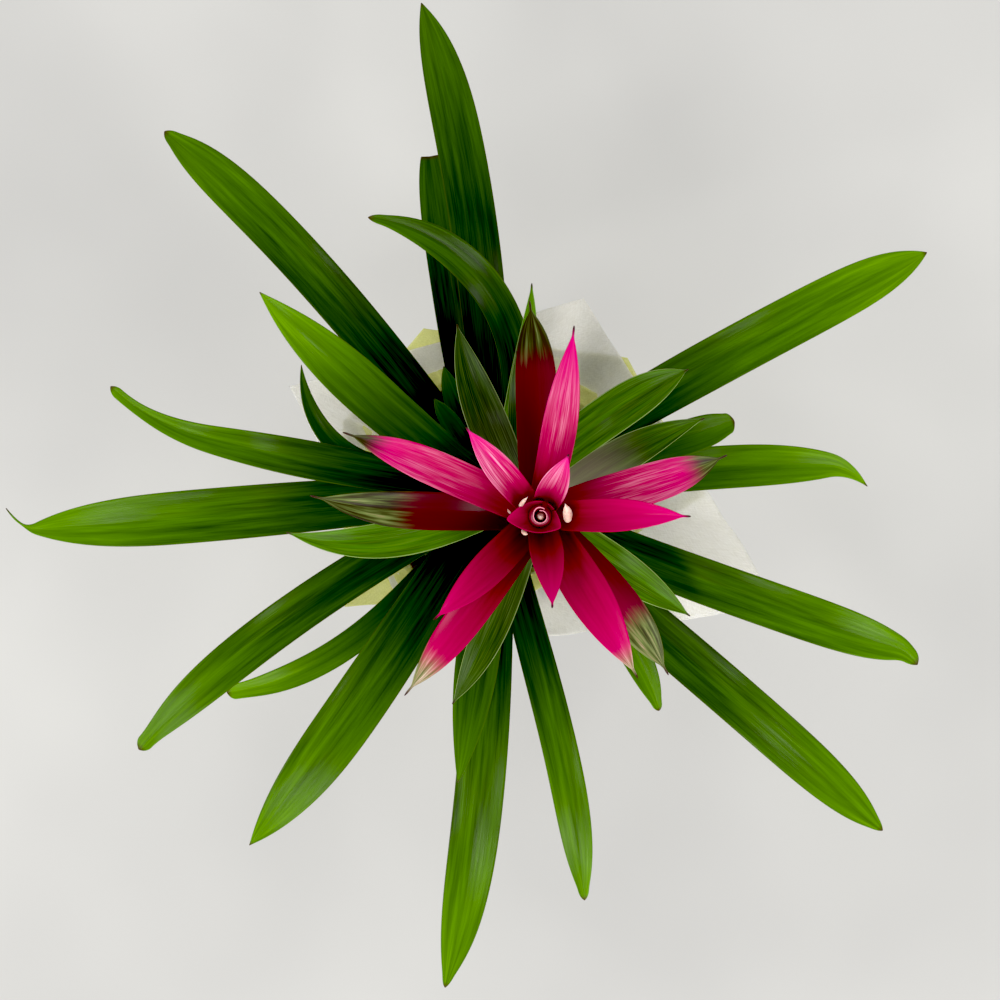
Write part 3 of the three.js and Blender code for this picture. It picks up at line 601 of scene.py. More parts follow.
def blade_pattern(material, across_mm, along_mm, detail):
    """A streaky pattern that follows the veins: its grain is across_mm wide and along_mm long."""
    vein, run, tone = (add_node(material, "Attribute", {"attribute_name": mark}, output="Fac")
                       for mark in ("vein", "run", "tone"))
    sideways = add_node(material, "Math", {"operation": "DIVIDE"}, {0: vein, 1: across_mm})
    onward = add_node(material, "Math", {"operation": "DIVIDE"}, {0: run, 1: along_mm})
    apart = add_node(material, "Math", {"operation": "MULTIPLY"}, {0: tone, 1: 37.0})
    place = add_node(material, "CombineXYZ", inputs={"X": sideways, "Y": onward, "Z": apart})
    return add_node(material, "TexNoise", inputs={
        "Vector": place, "Scale": 1.0, "Detail": detail, "Roughness": 0.6})


def finish_blade(material, colour, fine, veins, rim, dry, gloss):
    """What all blades share: fine raised veins, a margin and a dry point. veins is a strength and a depth,
    rim is where the margin starts across the blade, its strength and its tint, and dry is where the point
    starts along the blade, where it is full, and its tint."""
    across, along = (add_node(material, "Attribute", {"attribute_name": mark}, output="Fac")
                     for mark in ("across", "along"))
    edge = add_node(material, "Math", {"operation": "ABSOLUTE"}, {0: across})
    margin = add_node(material, "MapRange", inputs={
        "Value": edge, "From Min": rim[0], "From Max": 1.0, "To Max": rim[1]})
    rimmed = add_node(material, "Mix", {"data_type": "RGBA"}, {
        "Factor": margin, 6: colour, 7: linear(rim[2])})
    end = add_node(material, "MapRange", inputs={"Value": along, "From Min": dry[0], "From Max": dry[1]})
    tipped = add_node(material, "Mix", {"data_type": "RGBA"}, {"Factor": end, 6: rimmed, 7: linear(dry[2])})
    relief = add_node(material, "Bump", inputs={
        "Height": fine, "Strength": veins[0], "Distance": veins[1] * MM})
    return finish_material(material, {"Base Color": tipped, "Normal": relief, **gloss})


def glossy_leaf(name, ramp, streak_tint, gloss):
    """A waxed leaf skin: colour deepens towards the sheath, partly the leaf's own colour and partly
    painted shade for the depth of the rosette, fine veins run lengthwise, and the wax gives a soft gloss
    that the veins break up and that small scales dull near the sheath."""
    material = new_material(name)
    fine = blade_pattern(material, 0.55, 30, 2.0)
    broad = blade_pattern(material, 3.6, 60, 3.0)
    along, tone = (add_node(material, "Attribute", {"attribute_name": mark}, output="Fac")
                   for mark in ("along", "tone"))
    toned = add_node(material, "Math", {"operation": "MULTIPLY_ADD"}, {0: tone, 1: 0.8, 2: along})
    wandering = add_node(material, "Math", {"operation": "MULTIPLY_ADD"}, {0: broad, 1: 1.1, 2: toned})
    share = add_node(material, "Math", {"operation": "MULTIPLY_ADD", "use_clamp": True}, {
        0: wandering, 1: 0.85, 2: -0.82})
    tint = add_node(material, "ValToRGB", inputs={"Fac": share}, ramp=ramp)
    streak = add_node(material, "MapRange", inputs={
        "Value": fine, "From Min": 0.42, "From Max": 0.75, "To Max": 0.2})
    veined = add_node(material, "Mix", {"data_type": "RGBA"}, {
        "Factor": streak, 6: tint, 7: linear(streak_tint)})
    sheen = add_node(material, "MapRange", inputs={
        "Value": fine, "From Min": 0.3, "From Max": 0.7, "To Min": gloss, "To Max": gloss + 0.12})
    footward = add_node(material, "MapRange", inputs={
        "Value": along, "From Min": 0.55, "From Max": 0.25, "To Max": 0.25})
    dulled = add_node(material, "Math", {"operation": "ADD"}, {0: sheen, 1: footward})
    return finish_blade(
        material, veined, fine, veins=(0.7, 0.12), rim=(0.97, 0.25, "#5b5a2a"),
        dry=(0.985, 0.998, "#4a3a1c"), gloss={"Roughness": dulled, "Specular IOR Level": 0.1})


# The dark low ends of both ramps, at the sheath, are partly the leaf's own colour and partly painted shade
# for the depth of the rosette.
leaf_top = glossy_leaf("waxed_leaf_upper", [
    (0.0, "#0a1602"), (0.3, "#263e02"), (0.6, "#406205"), (0.85, "#537b08"), (1.0, "#65900f")],
    "#507e0c", 0.24)
leaf_under = glossy_leaf("leaf_underside", [
    (0.0, "#12260a"), (0.4, "#2c4a12"), (0.75, "#4a701f"), (1.0, "#648634")], "#6f8f44", 0.42)
for name, row in LEAVES.items():
    place_piece(blade(name, ROSETTE, (0, 0), LEAF, row, leaf_top, leaf_under), "leaf", name)

# Short leaves of the flower stalk
# The same kind of leaf, shorter and thinner, one above another up the stalk. Towards the head they pass
# from green to olive and to a pinkish grey, and their edges are pale.

STALK = SimpleNamespace(
    core=SCAPE_RADIUS, foot=SCAR_FOOT_HEIGHT, rise=SCAR_PITCH, angle=60, tier_angle=-3.8, straighten=60,
    droop=22, tier_droop=-1, span=100)
STALK_LEAF = {**LEAF, **dict(
    rows=44, shoulder=0.42, blunt=2.1, point=0.985, channel=0.18, clasp=0.055, spread=1.3, seat=0.55,
    wave=0.2)}
STALK_LEAVES = {
    "stalk_leaf_1": (0, 77, 81, 103, 13, dict(tone=0.85)),
    "stalk_leaf_2": (1, 36, 34, 109, 21, dict(shoulder=0.52, blunt=3.4, sway=1.5, tone=0.75)),
    "stalk_leaf_3": (2, 328, 327, 105, 20, dict(blunt=2.6, tone=0.7)),
    "stalk_leaf_4": (3, 201, 187.6, 111, 19, dict(tone=0.8)),
    "stalk_leaf_5": (4, 90, 92, 74, 13, dict(tone=0.3)),
    "stalk_leaf_6": (5, 116, 111, 94, 20, dict(tone=0.0, wine=0.05)),
    "stalk_leaf_7": (6, 251, 247, 98, 17, dict(blunt=2.6, tone=0.3, wine=0.03)),
    "stalk_leaf_8": (7, 39, 30, 90, 18, dict(sway=-1.5, tone=0.6, wine=0.36)),
}


def olive_leaf():
    """A leaf on its way to a bract: green at the tip, olive to a pale pinkish grey at the foot, with
    silvery streaks between the veins, partly the leaf's own lines and partly painted sheen."""
    material = new_material("olive_leaf_upper")
    fine = blade_pattern(material, 0.5, 22, 2.0)
    broad = blade_pattern(material, 2.4, 40, 3.0)
    along, tone, wine = (add_node(material, "Attribute", {"attribute_name": mark}, output="Fac")
                         for mark in ("along", "tone", "wine"))
    toned = add_node(material, "Math", {"operation": "MULTIPLY_ADD"}, {0: tone, 1: 0.6, 2: broad})
    share = add_node(material, "Math", {"operation": "MULTIPLY_ADD", "use_clamp": True}, {
        0: toned, 1: 0.9, 2: -0.3})
    tint = add_node(material, "ValToRGB", inputs={"Fac": share}, ramp=[
        (0.0, "#152303"), (0.4, "#304c05"), (0.7, "#4c7904"), (1.0, "#6d9226")])
    # The pale silvery streaks are partly the leaf's own lines and partly painted sheen, mixed into the
    # colour.
    streak = add_node(material, "MapRange", inputs={
        "Value": fine, "From Min": 0.45, "From Max": 0.75, "To Max": 0.36})
    veined = add_node(material, "Mix", {"data_type": "RGBA"}, {
        "Factor": streak, 6: tint, 7: linear("#7c9450")})
    footward = add_node(material, "MapRange", {"interpolation_type": "SMOOTHSTEP"}, {
        "Value": along, "From Min": 0.7, "From Max": 0.3})
    flushed = add_node(material, "Math", {"operation": "MULTIPLY"}, {0: footward, 1: wine})
    blushed = add_node(material, "Mix", {"data_type": "RGBA"}, {
        "Factor": flushed, 6: veined, 7: linear("#cdbbb0")})
    return finish_blade(
        material, blushed, fine, veins=(0.7, 0.12), rim=(0.96, 0.4, "#b9c98a"),
        dry=(0.965, 0.99, "#3a2a18"), gloss={"Roughness": 0.32, "Specular IOR Level": 0.14})


olive_top = olive_leaf()
for name, row in STALK_LEAVES.items():
    foot = stalk_at(STALK.foot + STALK.rise * row[0])
    place_piece(blade(name, STALK, foot, STALK_LEAF, row, olive_top, leaf_under), "stalk_leaf", name)

# Bracts of the flower head
# Coloured leaves round the small flowers: deep crimson at the foot, darkened there partly as painted
# shade between the bracts, magenta along the blade, with painted highlights on the bracts that have a
# high tone: pale streaks where the wax would catch the light. The outer ones still fade to green, and
# all end in a drawn-out dark point.

STAR = SimpleNamespace(
    core=HEAD_RADIUS, foot=266, rise=5, angle=33, tier_angle=9, straighten=40,
    droop=16, tier_droop=-2, span=90)
BRACT = {**LEAF, **dict(
    rows=44, shoulder=0.4, neck=0.9, blunt=2.0, point=0.95, tip=0.45, channel=0.2, crease=0.35, clasp=0.036,
    spread=1.2, wave=0.15, green=1.1)}
# A tone above 0.5 also gives a bract painted highlights: pale pink streaks mid-blade, more of them the
# higher the tone.
BRACTS = {
    "bract_01": (0, 92, 92.6, 100, 19.5, dict(blunt=4, sway=-0.7, tone=0.1, green=0.7, wine=0.85,
                                              tip_tone=0.1)),
    "bract_02": (0, 175, 175, 107, 18, dict(blunt=2.8, sway=2.5, tone=0.1, green=0.55, wine=0.95,
                                            tip_tone=0.25)),
    "bract_03": (0, 314, 309, 95, 18.5, dict(blunt=3.6, tone=0.3, green=0.64, wine=0.6, tip_tone=0.4)),
    "bract_04": (1, 18, 18, 90, 19, dict(blunt=3.6, sway=-1.5, tone=0.8, green=0.78, tip_tone=0.2)),
    "bract_05": (1, 155, 157, 98, 17, dict(blunt=2.7, tone=0.75, green=0.8, tip_tone=0.08)),
    "bract_06": (1, 234, 233, 103, 17.6, dict(blunt=3.0, tone=0.02, green=0.79, tip_tone=0.62)),
    "bract_07": (2, 75, 80, 87, 16.5, dict(sway=1.8, tone=0.85)),
    "bract_08": (2, 224, 224, 67, 17, dict(sway=1, tone=0.0)),
    "bract_09": (2, 302, 301, 85, 21, dict(tone=0.35, green=0.85, tip_tone=0.72)),
    "bract_10": (3, 0, 0, 66, 16, dict(sway=1, tone=0.45)),
    "bract_11": (3, 132, 130, 52, 14, dict(clasp=0.05, nod=4, tone=1.1)),
    "bract_12": (3, 281, 277, 41, 17.5, dict(shoulder=0.3, blunt=1.7, clasp=0.046, tone=0.25)),
    "bract_13": (4, 66, 66, 30, 15.5, dict(shoulder=0.3, blunt=1.8, clasp=0.062, nod=7, tone=1.2)),
}


def magenta_bract(name, rim):
    """Waxy bract skin. The colour turns along the blade from crimson to magenta, darkest at the foot partly
    as painted shade, with painted highlights as pale lengthwise streaks on the bracts with a high tone
    mark, and to olive or cream past the place that the green mark gives."""
    material = new_material(name)
    fine = blade_pattern(material, 0.45, 18, 2.0)
    broad = blade_pattern(material, 2.2, 30, 3.0)
    along, tone, green, wine, tip_tone = (
        add_node(material, "Attribute", {"attribute_name": mark}, output="Fac")
        for mark in ("along", "tone", "green", "wine", "tip_tone"))
    outward = add_node(material, "Math", {"operation": "MULTIPLY_ADD"}, {0: broad, 1: 0.35, 2: along})
    toned = add_node(material, "Math", {"operation": "MULTIPLY_ADD"}, {0: tone, 1: 0.4, 2: outward})
    share = add_node(material, "Math", {"operation": "MULTIPLY_ADD", "use_clamp": True}, {
        0: toned, 1: 0.75, 2: -0.18})
    # The darkest stops at the foot are partly the bract's own crimson and partly painted shade for the
    # crevices between the bracts.
    tint = add_node(material, "ValToRGB", inputs={"Fac": share}, ramp=[
        (0.0, "#450010"), (0.25, "#86002c"), (0.55, "#ae0050"), (0.8, "#c4006a"), (1.0, "#d0107c")])
    dark = add_node(material, "Mix", {"data_type": "RGBA"}, {"Factor": wine, 6: tint, 7: linear("#4e0112")})
    # Painted highlight: pale pink streaks mid-blade, on the bracts with a high tone mark, stand for the wax
    # catching the light. The masks below place them.
    streak = add_node(material, "MapRange", inputs={
        "Value": fine, "From Min": 0.4, "From Max": 0.66, "To Max": 0.6})
    sheen_onset = add_node(material, "MapRange", {"interpolation_type": "SMOOTHSTEP"}, {
        "Value": along, "From Min": 0.2, "From Max": 0.5})
    sheen_fade = add_node(material, "MapRange", {"interpolation_type": "SMOOTHSTEP"}, {
        "Value": along, "From Min": 0.6, "From Max": 0.95, "To Min": 1.0, "To Max": 0.15})
    sheen_bracts = add_node(material, "MapRange", inputs={"Value": tone, "From Min": 0.5, "From Max": 1.1})
    sheen_patch = add_node(material, "MapRange", inputs={
        "Value": broad, "From Min": 0.4, "From Max": 0.6, "To Min": 0.2, "To Max": 1.1})
    # This mask says where the painted highlight goes.
    waxed = add_node(material, "Math", {"operation": "MULTIPLY"}, {0: sheen_onset, 1: sheen_fade})
    for limit in (sheen_bracts, sheen_patch):
        waxed = add_node(material, "Math", {"operation": "MULTIPLY"}, {0: waxed, 1: limit})
    painted_highlight = add_node(material, "Math", {"operation": "MULTIPLY", "use_clamp": True}, {0: streak, 1: waxed})
    # The painted highlight is mixed into the colour here.
    veined = add_node(material, "Mix", {"data_type": "RGBA"}, {
        "Factor": painted_highlight, 6: dark, 7: linear("#f4b4c8")})
    ragged = add_node(material, "Math", {"operation": "MULTIPLY_ADD"}, {0: fine, 1: 0.14, 2: along})
    beyond = add_node(material, "Math", {"operation": "SUBTRACT"}, {0: ragged, 1: green})
    faded = add_node(material, "MapRange", {"interpolation_type": "SMOOTHSTEP"}, {
        "Value": beyond, "From Min": 0.0, "From Max": 0.16})
    clouded = add_node(material, "Math", {"operation": "MULTIPLY_ADD"}, {0: broad, 1: 2.2, 2: -1.1})
    tip_share = add_node(material, "Math", {"operation": "ADD", "use_clamp": True}, {
        0: clouded, 1: tip_tone})
    olive = add_node(material, "ValToRGB", inputs={"Fac": tip_share}, ramp=[
        (0.0, "#2e2416"), (0.25, "#454a24"), (0.55, "#6d7a45"), (0.75, "#948062"), (1.0, "#d8c2ae")])
    turned_green = add_node(material, "Mix", {"data_type": "RGBA"}, {"Factor": faded, 6: veined, 7: olive})
    return finish_blade(
        material, turned_green, fine, veins=(0.35, 0.1), rim=(0.97, rim, "#e08c9c"),
        dry=(0.93, 0.985, "#3c1a1a"), gloss={"Roughness": 0.32, "Specular IOR Level": 0.13})


bract_skin = magenta_bract("waxed_bract", 0.0)
for name, row in BRACTS.items():
    place_piece(blade(name, STAR, LEAN, BRACT, row, bract_skin, bract_skin), "bract", name)

# Hood and rolled heart
# The two youngest bracts are soft and still shut. The hood stands round the heart like a shallow cup, with
# a long point on one side. The heart is rolled into a tube round one bud, and its rim is pale.

SOFT_THICKNESS = 0.5
HOOD_FOOT = (5.66, 287)
HOOD_RIM_RADIUS = 6.2
HOOD_RIM_HEIGHT = 300
HOOD_SEAM = 25
HOOD_ROUND = 358
HOOD_LOBES = {
    "point": {"heading": 185, "length": 9.8, "spread": 33},
    "corner": {"heading": 331, "length": 4.8, "spread": 30},
}
HEART_FOOT = HEAD_TOP_HEIGHT + SEAT
HEART_HEIGHT = 16.7
HEART_RADIUS = 3.5
HEART_SEAM = 60
HEART_TURNS = 1.12


def rolled_bract(name, columns, rows, shape, colour_place, skin):
    """A grid bent by shape(around, up) to a place in millimetres, thickened and smoothed. colour_place(up)
    is the place along a flat bract whose colour it has at that height."""
    select_only()
    bpy.ops.mesh.primitive_grid_add(x_subdivisions=columns, y_subdivisions=rows, size=2)
    piece = name_piece(name, skin)
    marks = {mark: [] for mark in ("across", "along", "vein", "run")}
    for vertex in piece.data.vertices:
        around = 0.5 * (vertex.co.x + 1)
        up = 0.5 * (vertex.co.y + 1)
        rimward = 0.9 + 0.12 * max(0, up - 0.8) / 0.2
        for mark, value in zip(marks.values(), (rimward, colour_place(up), 30 * around, HEART_HEIGHT * up)):
            mark.append(value)
        vertex.co = (Vector(shape(around, up)) + Vector((*LEAN, 0))) * MM
    add_marks(piece, {**marks, "tone": 0.4, "green": 1.1, "wine": 0.0})
    thicken_and_smooth(piece, SOFT_THICKNESS, 1)
    return piece


def hood_shape(around, up):
    """The hood: a cup whose rim runs out to a point on one side and a corner on the other."""
    heading = HOOD_SEAM + HOOD_ROUND * around
    reach = HOOD_RIM_RADIUS
    for lobe in HOOD_LOBES.values():
        apart = abs((heading - lobe["heading"] + 180) % 360 - 180)
        reach += lobe["length"] * math.exp(-apart / lobe["spread"])
    radius = HOOD_FOOT[0] + (reach - HOOD_FOOT[0]) * max(0, (up - 0.3) / 0.7) ** 1.2
    height = HOOD_FOOT[1] + (HOOD_RIM_HEIGHT - HOOD_FOOT[1] + 0.3 * (reach - HOOD_RIM_RADIUS)) * up ** 0.6
    return radius * math.cos(math.radians(heading)), radius * math.sin(math.radians(heading)), height


def heart_shape(around, up):
    """The heart: a leaf rolled a little more than once round, wider at its rim, with one raised tip."""
    turn = 2 * math.pi * HEART_TURNS * around
    belly = 0.4 + 0.6 * math.sin(0.5 * math.pi * up ** 0.8)
    tip = math.exp(-((around - 0.12) / 0.1) ** 2)
    radius = (HEART_RADIUS - 0.9 * around) * belly * (1 + 0.25 * tip * up ** 6)
    height = HEART_FOOT + HEART_HEIGHT * up * (0.93 + 0.05 * tip + 0.02 * math.cos(turn))
    angle = math.radians(HEART_SEAM) + turn
    return radius * math.cos(angle), radius * math.sin(angle), height


hood = rolled_bract("hood_blade", 60, 12, hood_shape, lambda up: 0.25 + 0.3 * up, bract_skin)
place_piece(hood, "bract", "bract_14")
pale_rimmed = magenta_bract("pale_rimmed_bract", 1.0)
heart = rolled_bract("heart_roll", 56, 14, heart_shape, lambda up: 0.02 + 0.2 * up, pale_rimmed)
place_piece(heart, "bract", "bract_heart")

# Flower buds
# Small waxy flowers still shut, ivory with a pink flush, that stand in the gaps between the youngest
# bracts. One of them has gone dark red, and another is shut in the rolled heart.

BUDS = {
    "flower_bud_1": {"foot": (12.2, -2.6, 296), "tip": (10.9, 5.8, 311), "radius": 2.2, "wine": 0.0},
    "flower_bud_2": {"foot": (2.2, 4.5, 292), "tip": (2.3, 5.9, 303), "radius": 1.5, "wine": 1.0},
    "flower_bud_3": {"foot": (-9.2, 3.4, 296), "tip": (-5.6, 8.8, 311), "radius": 1.05, "wine": 0.1},
    "flower_bud_4": {"foot": (-12, 0.5, 296), "tip": (-14.8, 3.4, 310), "radius": 0.6, "wine": 0.4},
    "flower_bud_5": {"foot": (-7.8, -6.2, 294), "tip": (-5.6, -8.2, 303), "radius": 1.1, "wine": 0.0},
    "flower_bud_heart": {"foot": (0, 0, HEART_FOOT + 3.5), "tip": (0.2, -0.2, HEART_FOOT + 15.8),
                         "radius": 2.35, "wine": 0.05},
}
BUD_SWELL = [0.55, 0.8, 0.95, 1.0, 1.0, 0.95, 0.8, 0.55, 0.2]
BUD_SIDES = 24


def waxy_petal():
    """Shut waxy petals: ivory, flushed pink in clouds, or dark red where the wine mark says so."""
    material = new_material("waxy_petal")
    tint = add_node(material, "ValToRGB", inputs={"Fac": grain(material, 1.6, 3.0)},
                    ramp=[(0.3, "#d9a79b"), (0.5, "#ecc9b8"), (0.7, "#f4e3d2")])
    wine = add_node(material, "Attribute", {"attribute_name": "wine"}, output="Fac")
    dark = add_node(material, "Mix", {"data_type": "RGBA"}, {"Factor": wine, 6: tint, 7: linear("#7a1220")})
    return finish_material(material, {
        "Base Color": dark, "Roughness": 0.4, "Subsurface Weight": 0.25,
        "Subsurface Radius": (4 * MM, 2 * MM, 1 * MM)})


def bud(name, form, material):
    """A spindle of rings along a bent line, with three shallow folds where its petals overlap."""
    foot, tip = Vector(form["foot"]), Vector(form["tip"])
    bend = foot * 0.6 + tip * 0.4 + Vector((foot.x, foot.y, 0)) * 0.12
    rings = [(form["radius"] * swell, place) for place, swell in enumerate([0, *BUD_SWELL, 0])]
    piece = turned(rings, BUD_SIDES)
    name_piece(name + "_petals", material)
    for vertex in piece.data.vertices:
        share = vertex.co.z / MM / (len(BUD_SWELL) + 1)
        around = math.atan2(vertex.co.y, vertex.co.x)
        fold = 1 - 0.1 * math.sin(math.pi * share) * max(0, math.cos(3 * around + 2 * share)) ** 4
        centre = foot * (1 - share) ** 2 + bend * 2 * share * (1 - share) + tip * share ** 2
        flat = Vector((vertex.co.x, vertex.co.y, 0)) / MM * fold
        vertex.co = (centre + flat + Vector((*LEAN, 0))) * MM
    add_marks(piece, {"wine": form["wine"]})
    thicken_and_smooth(piece, 0, 1)
    return piece


petal = waxy_petal()
for name, form in BUDS.items():
    place_piece(bud(name, form, petal), "bud", name)

# Wraps
# Two square sheets of spunbonded non-woven, the inner one yellow green and the outer one off-white.
# The pot stands on their middles. They are gathered up its wall in pleats, tied, and their corners
# flare out over the lip.

WRAP_THICKNESS = 0.4
WRAP_SPACING = 2.2
WRAP_WAVES = 10
WRAP_PLEATS = 22
WRAP_COLUMNS = 14 * WRAP_PLEATS
WRAP_ROWS = 84
WALL_GAP = 0.7
FLARE_RADIUS = 66
FLARE_HEIGHT = 106.5
FLARE_RISE = 24
FLARE_LENGTH = 18
FLARE_DROOP = 12
FLARE_SPAN = 90
COLLAR = {"heading": 295, "radius": 60, "depth": 17, "spread": 40, "spacing": 4}
TIE_HEIGHT = 56
TIE_WAVE = 1.0
FLAT_REACH = 240
SPLINE_STEP = 0.004
# The corners of each sheet that are seen: a heading in degrees, and a distance from the axis.
OUTER_CORNERS = [(-22, 159), (66, 110), (153, 121), (246, 92)]
INNER_CORNERS = [(-1, 108), (46, 97), (114, 93), (156, 88), (217, 99), (287, 56)]
# Up the pot's wall: a height, a wave depth, a pleat depth and how far the pleats fold back.
WALL_STOPS = [
    (14, 1.6, 0.7, 1.4), (28, 2.4, 0.9, 2.0), (42, 1.7, 0.85, 2.5), (TIE_HEIGHT, TIE_WAVE, 0.7, 2.8),
    (68, 1.8, 0.9, 2.7), (80, 2.4, 1.0, 2.7), (90, 2.3, 1.0, 2.7)]
# From the collar out to the edge: a share of that way, a pleat depth and how far the pleats fold back.
EDGE_STOPS = [
    (0, 0.5, 1.8), (0.12, 0.7, 1.3), (0.3, 0.6, 0.8), (0.5, 0.45, 0.5), (0.75, 0.3, 0.25), (1, 0.2, 0.1)]


def edge_distance(corners, angle):
    """Where a ray from the axis leaves the outline that joins the corners by straight edges."""
    ray = Vector((math.cos(angle), math.sin(angle)))
    points = [Vector((math.cos(math.radians(h)), math.sin(math.radians(h)))) * d for h, d in corners]
    distances = []
    for start, end in zip(points, points[1:] + points[:1]):
        side = end - start
        spread = ray.x * side.y - ray.y * side.x
        distance = (start.x * side.y - start.y * side.x) / spread
        share = (start.x * ray.y - start.y * ray.x) / spread
        if -0.001 <= share <= 1.001 and distance > 0:
            distances.append(distance)
    return min(distances)


def flare_height(radius):
    """Height of the flare's middle line at a distance from the axis."""
    out = max(0, radius - FLARE_RADIUS)
    sunk = FLARE_DROOP * (out / FLARE_SPAN) ** 2
    return FLARE_HEIGHT + FLARE_RISE * (1 - math.exp(-out / FLARE_LENGTH)) - sunk


def collar_radius(layer, heading):
    """How far the gathers lean in over the pot's rim: most on the side that the sheet slumped to."""
    apart = (heading - COLLAR["heading"] + 180) % 360 - 180
    lean = COLLAR["depth"] * math.exp(-(apart / COLLAR["spread"]) ** 2)
    return COLLAR["radius"] - lean + COLLAR["spacing"] * layer


def meridian(layer, edge, collar):
    """The sheet's line from the middle of its floor, up the wall, in over the rim and out to its edge. A
    stop is a radius, a height, a layer offset, a wave depth, a pleat depth and how far pleats fold back."""
    floor = 0.4 if layer else 1.55
    out = layer * WRAP_SPACING
    stops = [(radius, floor, 0, 0, 0, 0) for radius in (2, 20, 36)]
    stops += [(POT_BASE_RADIUS + 0.9, floor, 0, 0, 0, 0.2),
              (POT_BASE_RADIUS + 3, 5.5 - 0.5 * out, out, 0.8, 0.4, 0.6)]
    for height, wave, pleat, fold in WALL_STOPS:
        stops.append((pot_outside(height) + WALL_GAP + wave, height, out, wave, pleat, fold))
    stops += [(FLARE_RADIUS - 0.6, FLARE_HEIGHT - 7, out, 2.0, 1.0, 2.6),
              (FLARE_RADIUS - 2.5, FLARE_HEIGHT + 1.2, 0.7 * out, 1.0, 0.8, 2.6),
              (0.5 * (FLARE_RADIUS + collar), FLARE_HEIGHT + 2.2, 0.3 * out, 0.4, 0.5, 2.4),
              (collar, FLARE_HEIGHT + 3.6 - 1.2 * layer, 0, 0.4, 0.5, 2.2)]
    lip = collar + 3
    lowest = FLARE_HEIGHT + 6 - 1.5 * layer
    for share, pleat, fold in EDGE_STOPS:
        radius = lip + (edge - lip) * share
        crest = 2.5 * math.exp(-max(0, radius - FLARE_RADIUS) / 12)
        height = max(lowest, flare_height(radius)) + crest
        stops.append((radius, height, 0.5 * out - out * min(1, 0.5 + share), 0.9, pleat, fold))
    return stops


def spline(stops, share):
    """A smooth line through the stops, at a share of its count."""
    place = share * (len(stops) - 1)
    first = min(int(place), len(stops) - 2)
    t = place - first
    before, start, end, after = (stops[min(max(i, 0), len(stops) - 1)] for i in range(first - 1, first + 3))
    return [
        0.5 * (2 * b + (c - a) * t + (2 * a - 5 * b + 4 * c - d) * t * t + (3 * b - a - 3 * c + d) * t ** 3)
        for a, b, c, d in zip(before, start, end, after)
    ]


def spunbond(name, dark, pale):
    """Spunbonded polypropylene non-woven: a thin web of pressed fibres, matt and a little see-through,
    cloudy where the web is thicker. The fibres are drawn as coarse as they need to show."""
    material = new_material(name)
    sheet = add_node(material, "UVMap", {"uv_map": "cut"})
    cloud = add_node(material, "TexNoise", inputs={
        "Vector": sheet, "Scale": 1 / (14 * MM), "Detail": 4.0, "Roughness": 0.65})
    fibres = []
    for turn, stretch, apart in ((0.9, (1, 0.12, 1), 0.5), (-0.6, (0.12, 1, 1), 0.6)):
        laid = add_node(material, "Mapping", inputs={
            "Vector": sheet, "Rotation": (0, 0, turn), "Scale": stretch})
        fibres.append(add_node(material, "TexNoise", inputs={
            "Vector": laid, "Scale": 1 / (apart * MM), "Detail": 3.0, "Distortion": 0.6}))
    web = add_node(material, "Math", {"operation": "ADD"}, {0: fibres[0], 1: fibres[1]})
    weight = add_node(material, "Math", {"operation": "MULTIPLY_ADD"}, {0: cloud, 1: 0.6, 2: web})
    tint = add_node(material, "MapRange", inputs={"Value": weight, "From Min": 0.8, "From Max": 1.8})
    colour = add_node(material, "ValToRGB", inputs={"Fac": tint}, ramp=[(0.0, dark), (1.0, pale)])
    cover = add_node(material, "MapRange", inputs={
        "Value": weight, "From Min": 0.9, "From Max": 1.6, "To Min": 0.62, "To Max": 0.8})
    relief = add_node(material, "Bump", inputs={"Height": web, "Strength": 0.08, "Distance": 0.1 * MM})
    return finish_material(material, {
        "Base Color": colour, "Roughness": 0.8, "Specular IOR Level": 0.25, "Alpha": cover,
        "Normal": relief, "Subsurface Weight": 0.8, "Subsurface Radius": (2 * MM, 2 * MM, 1.8 * MM),
        "Subsurface Scale": 1.0})


def sheet_line(layer, corners, turn):
    """The sheet's line at a share of a turn round the pot, and the turn at which it meets the edge. The
    line nearest to a corner is led right into it."""
    corner = min(((h / 360) % 1 for h, _ in corners), key=lambda c: abs((c - turn + 0.5) % 1 - 0.5))
    gap = (corner - turn + 0.5) % 1 - 0.5
    edge_turn = turn + gap if abs(gap) < 0.5 / WRAP_COLUMNS else turn
    edge = edge_distance(corners, 2 * math.pi * edge_turn)
    return meridian(layer, edge, collar_radius(layer, 360 * edge_turn)), edge_turn


def gathered_place(stops, edge_turn, turn, share):
    """Where a point of the sheet comes to lie, at a share of its line's stops: waved, pleated and a little
    crumpled, with the pleats folded back over themselves."""
    radius, height, out, wave, pleat, fold = spline(stops, share)
    ahead = spline(stops, min(1, share + SPLINE_STEP))
    behind = spline(stops, max(0, share - SPLINE_STEP))
    run = Vector((ahead[0] - behind[0], ahead[1] - behind[1])).normalized()
    uneven = 0.012 * math.sin(2 * math.pi * 3 * turn + 1.1) + 0.008 * math.sin(2 * math.pi * 7 * turn + 0.4)
    beat = math.sin(2 * math.pi * WRAP_PLEATS * (turn + uneven))
    strength = fold * (0.8 + 0.25 * math.sin(2 * math.pi * 5 * turn + 0.07 * height))
    open_turn = turn + (edge_turn - turn) * max(0, (share - 0.8) / 0.2)
    angle = 2 * math.pi * open_turn + strength * beat / WRAP_PLEATS
    crumple = noise.noise(Vector((12 * math.cos(angle), 12 * math.sin(angle), height / 9 + 0.1 * radius)))
    relief = wave * math.sin(WRAP_WAVES * angle) - pleat * beat + out + 0.25 * wave * crumple
    away = radius + run.y * relief
    return Vector((away * math.cos(angle), away * math.sin(angle), height - run.x * relief)) * MM


